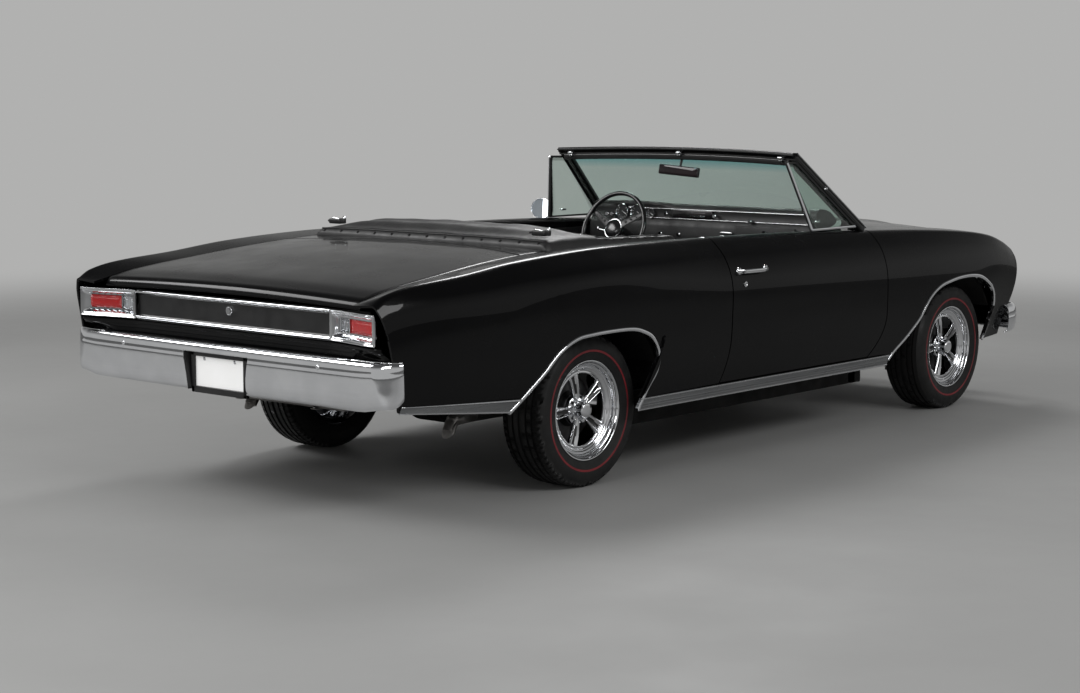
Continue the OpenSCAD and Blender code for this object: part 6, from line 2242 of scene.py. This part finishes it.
def seenDirectly(tree, kinds):  # 1 for what the camera and the named kinds of ray show
    rays = tree.nodes.new("ShaderNodeLightPath")
    total = rays.outputs["Is Camera Ray"]
    for name in kinds:
        higher = tree.nodes.new("ShaderNodeMath")
        higher.operation = "MAXIMUM"
        tree.links.new(total, higher.inputs[0])
        tree.links.new(rays.outputs[name], higher.inputs[1])
        total = higher.outputs[0]
    return total


def fadeFloor(material):
    tree = material.node_tree
    coords = tree.nodes.new("ShaderNodeTexCoord")
    reach = tree.nodes.new("ShaderNodeVectorMath")
    reach.operation = "LENGTH"
    spread = tree.nodes.new("ShaderNodeMapRange")
    spread.interpolation_type = "SMOOTHERSTEP"
    spread.inputs["From Min"].default_value, spread.inputs["From Max"].default_value = studio["fade"]
    share = tree.nodes.new("ShaderNodeMath")
    share.operation = "MULTIPLY"
    glow = tree.nodes.new("ShaderNodeEmission")
    glow.inputs["Color"].default_value = (*studio["backTone"], 1)
    both = tree.nodes.new("ShaderNodeMixShader")
    tree.links.new(coords.outputs["Object"], reach.inputs[0])
    tree.links.new(reach.outputs["Value"], spread.inputs["Value"])
    tree.links.new(spread.outputs["Result"], share.inputs[0])
    tree.links.new(seenDirectly(tree, ["Is Transmission Ray"]), share.inputs[1])
    tree.links.new(share.outputs[0], both.inputs["Fac"])
    tree.links.new(tree.nodes["Principled BSDF"].outputs["BSDF"], both.inputs[1])
    tree.links.new(glow.outputs["Emission"], both.inputs[2])
    tree.links.new(both.outputs["Shader"], tree.nodes["Material Output"].inputs["Surface"])


def buildStudio():
    floorMesh = bpy.data.meshes.new("studioFloor")
    bm = bmesh.new()
    bmesh.ops.create_grid(bm, x_segments=2, y_segments=2, size=60)
    bm.to_mesh(floorMesh)
    bm.free()
    floor = bpy.data.objects.new("studioFloor", floorMesh)
    bpy.context.scene.collection.objects.link(floor)
    tone = studio["floorTone"]
    floorMesh.materials.append(finish("studioFloor", (tone, [c * 1.05 for c in tone]), 0.8,
                                      (0.55, 0.7), 2.0, specular=0.3))
    fadeFloor(floorMesh.materials[0])
    world = bpy.data.worlds.new("studioWorld")
    bpy.context.scene.world = world
    world.use_nodes = True
    tree = world.node_tree
    back = tree.nodes["Background"]
    tones = tree.nodes.new("ShaderNodeMix")
    tones.data_type = "RGBA"
    level = studio["ambient"]
    tones.inputs["A"].default_value = (level, level, level, 1)
    tree.links.new(seenDirectly(tree, ["Is Glossy Ray", "Is Transmission Ray"]),
                   tones.inputs["Factor"])
    coords = tree.nodes.new("ShaderNodeTexCoord")
    split = tree.nodes.new("ShaderNodeSeparateXYZ")
    climb = tree.nodes.new("ShaderNodeMapRange")
    climb.inputs["From Min"].default_value, climb.inputs["From Max"].default_value = studio["overhead"]
    sky = tree.nodes.new("ShaderNodeMix")
    sky.data_type = "RGBA"
    sky.inputs["A"].default_value = (*studio["backTone"], 1)
    sky.inputs["B"].default_value = (*studio["overheadTone"], 1)
    tree.links.new(coords.outputs["Generated"], split.inputs["Vector"])
    tree.links.new(split.outputs["Z"], climb.inputs["Value"])
    tree.links.new(climb.outputs["Result"], sky.inputs["Factor"])
    tree.links.new(sky.outputs["Result"], tones.inputs["B"])
    tree.links.new(tones.outputs["Result"], back.inputs["Color"])
    for n, (spot, aim, size, watts) in enumerate(studio["lamps"]):
        lamp = bpy.data.lights.new(f"softLamp{n}", "AREA")
        lamp.shape = "RECTANGLE"
        lamp.size, lamp.size_y = size
        lamp.energy = watts
        holder = bpy.data.objects.new(f"softLamp{n}", lamp)
        bpy.context.scene.collection.objects.link(holder)
        holder.location = spot
        holder.rotation_euler = (Vector(aim) - Vector(spot)).to_track_quat("-Z", "Y").to_euler()
    lens = bpy.data.cameras.new("viewCamera")
    lens.lens = studio["lens"]
    lens.sensor_width = 36
    lens.clip_end = 200
    camera = bpy.data.objects.new("viewCamera", lens)
    bpy.context.scene.collection.objects.link(camera)
    camera.matrix_world = (Matrix.Translation(studio["camera"])
                           @ Matrix.Rotation(studio["yaw"] - math.pi / 2, 4, "Z")
                           @ Matrix.Rotation(math.pi / 2 + studio["pitch"], 4, "X")
                           @ Matrix.Rotation(studio["roll"], 4, "Z"))
    bpy.context.scene.camera = camera
    bpy.context.scene.view_settings.view_transform = "Standard"


buildStudio()
print("studio ready")
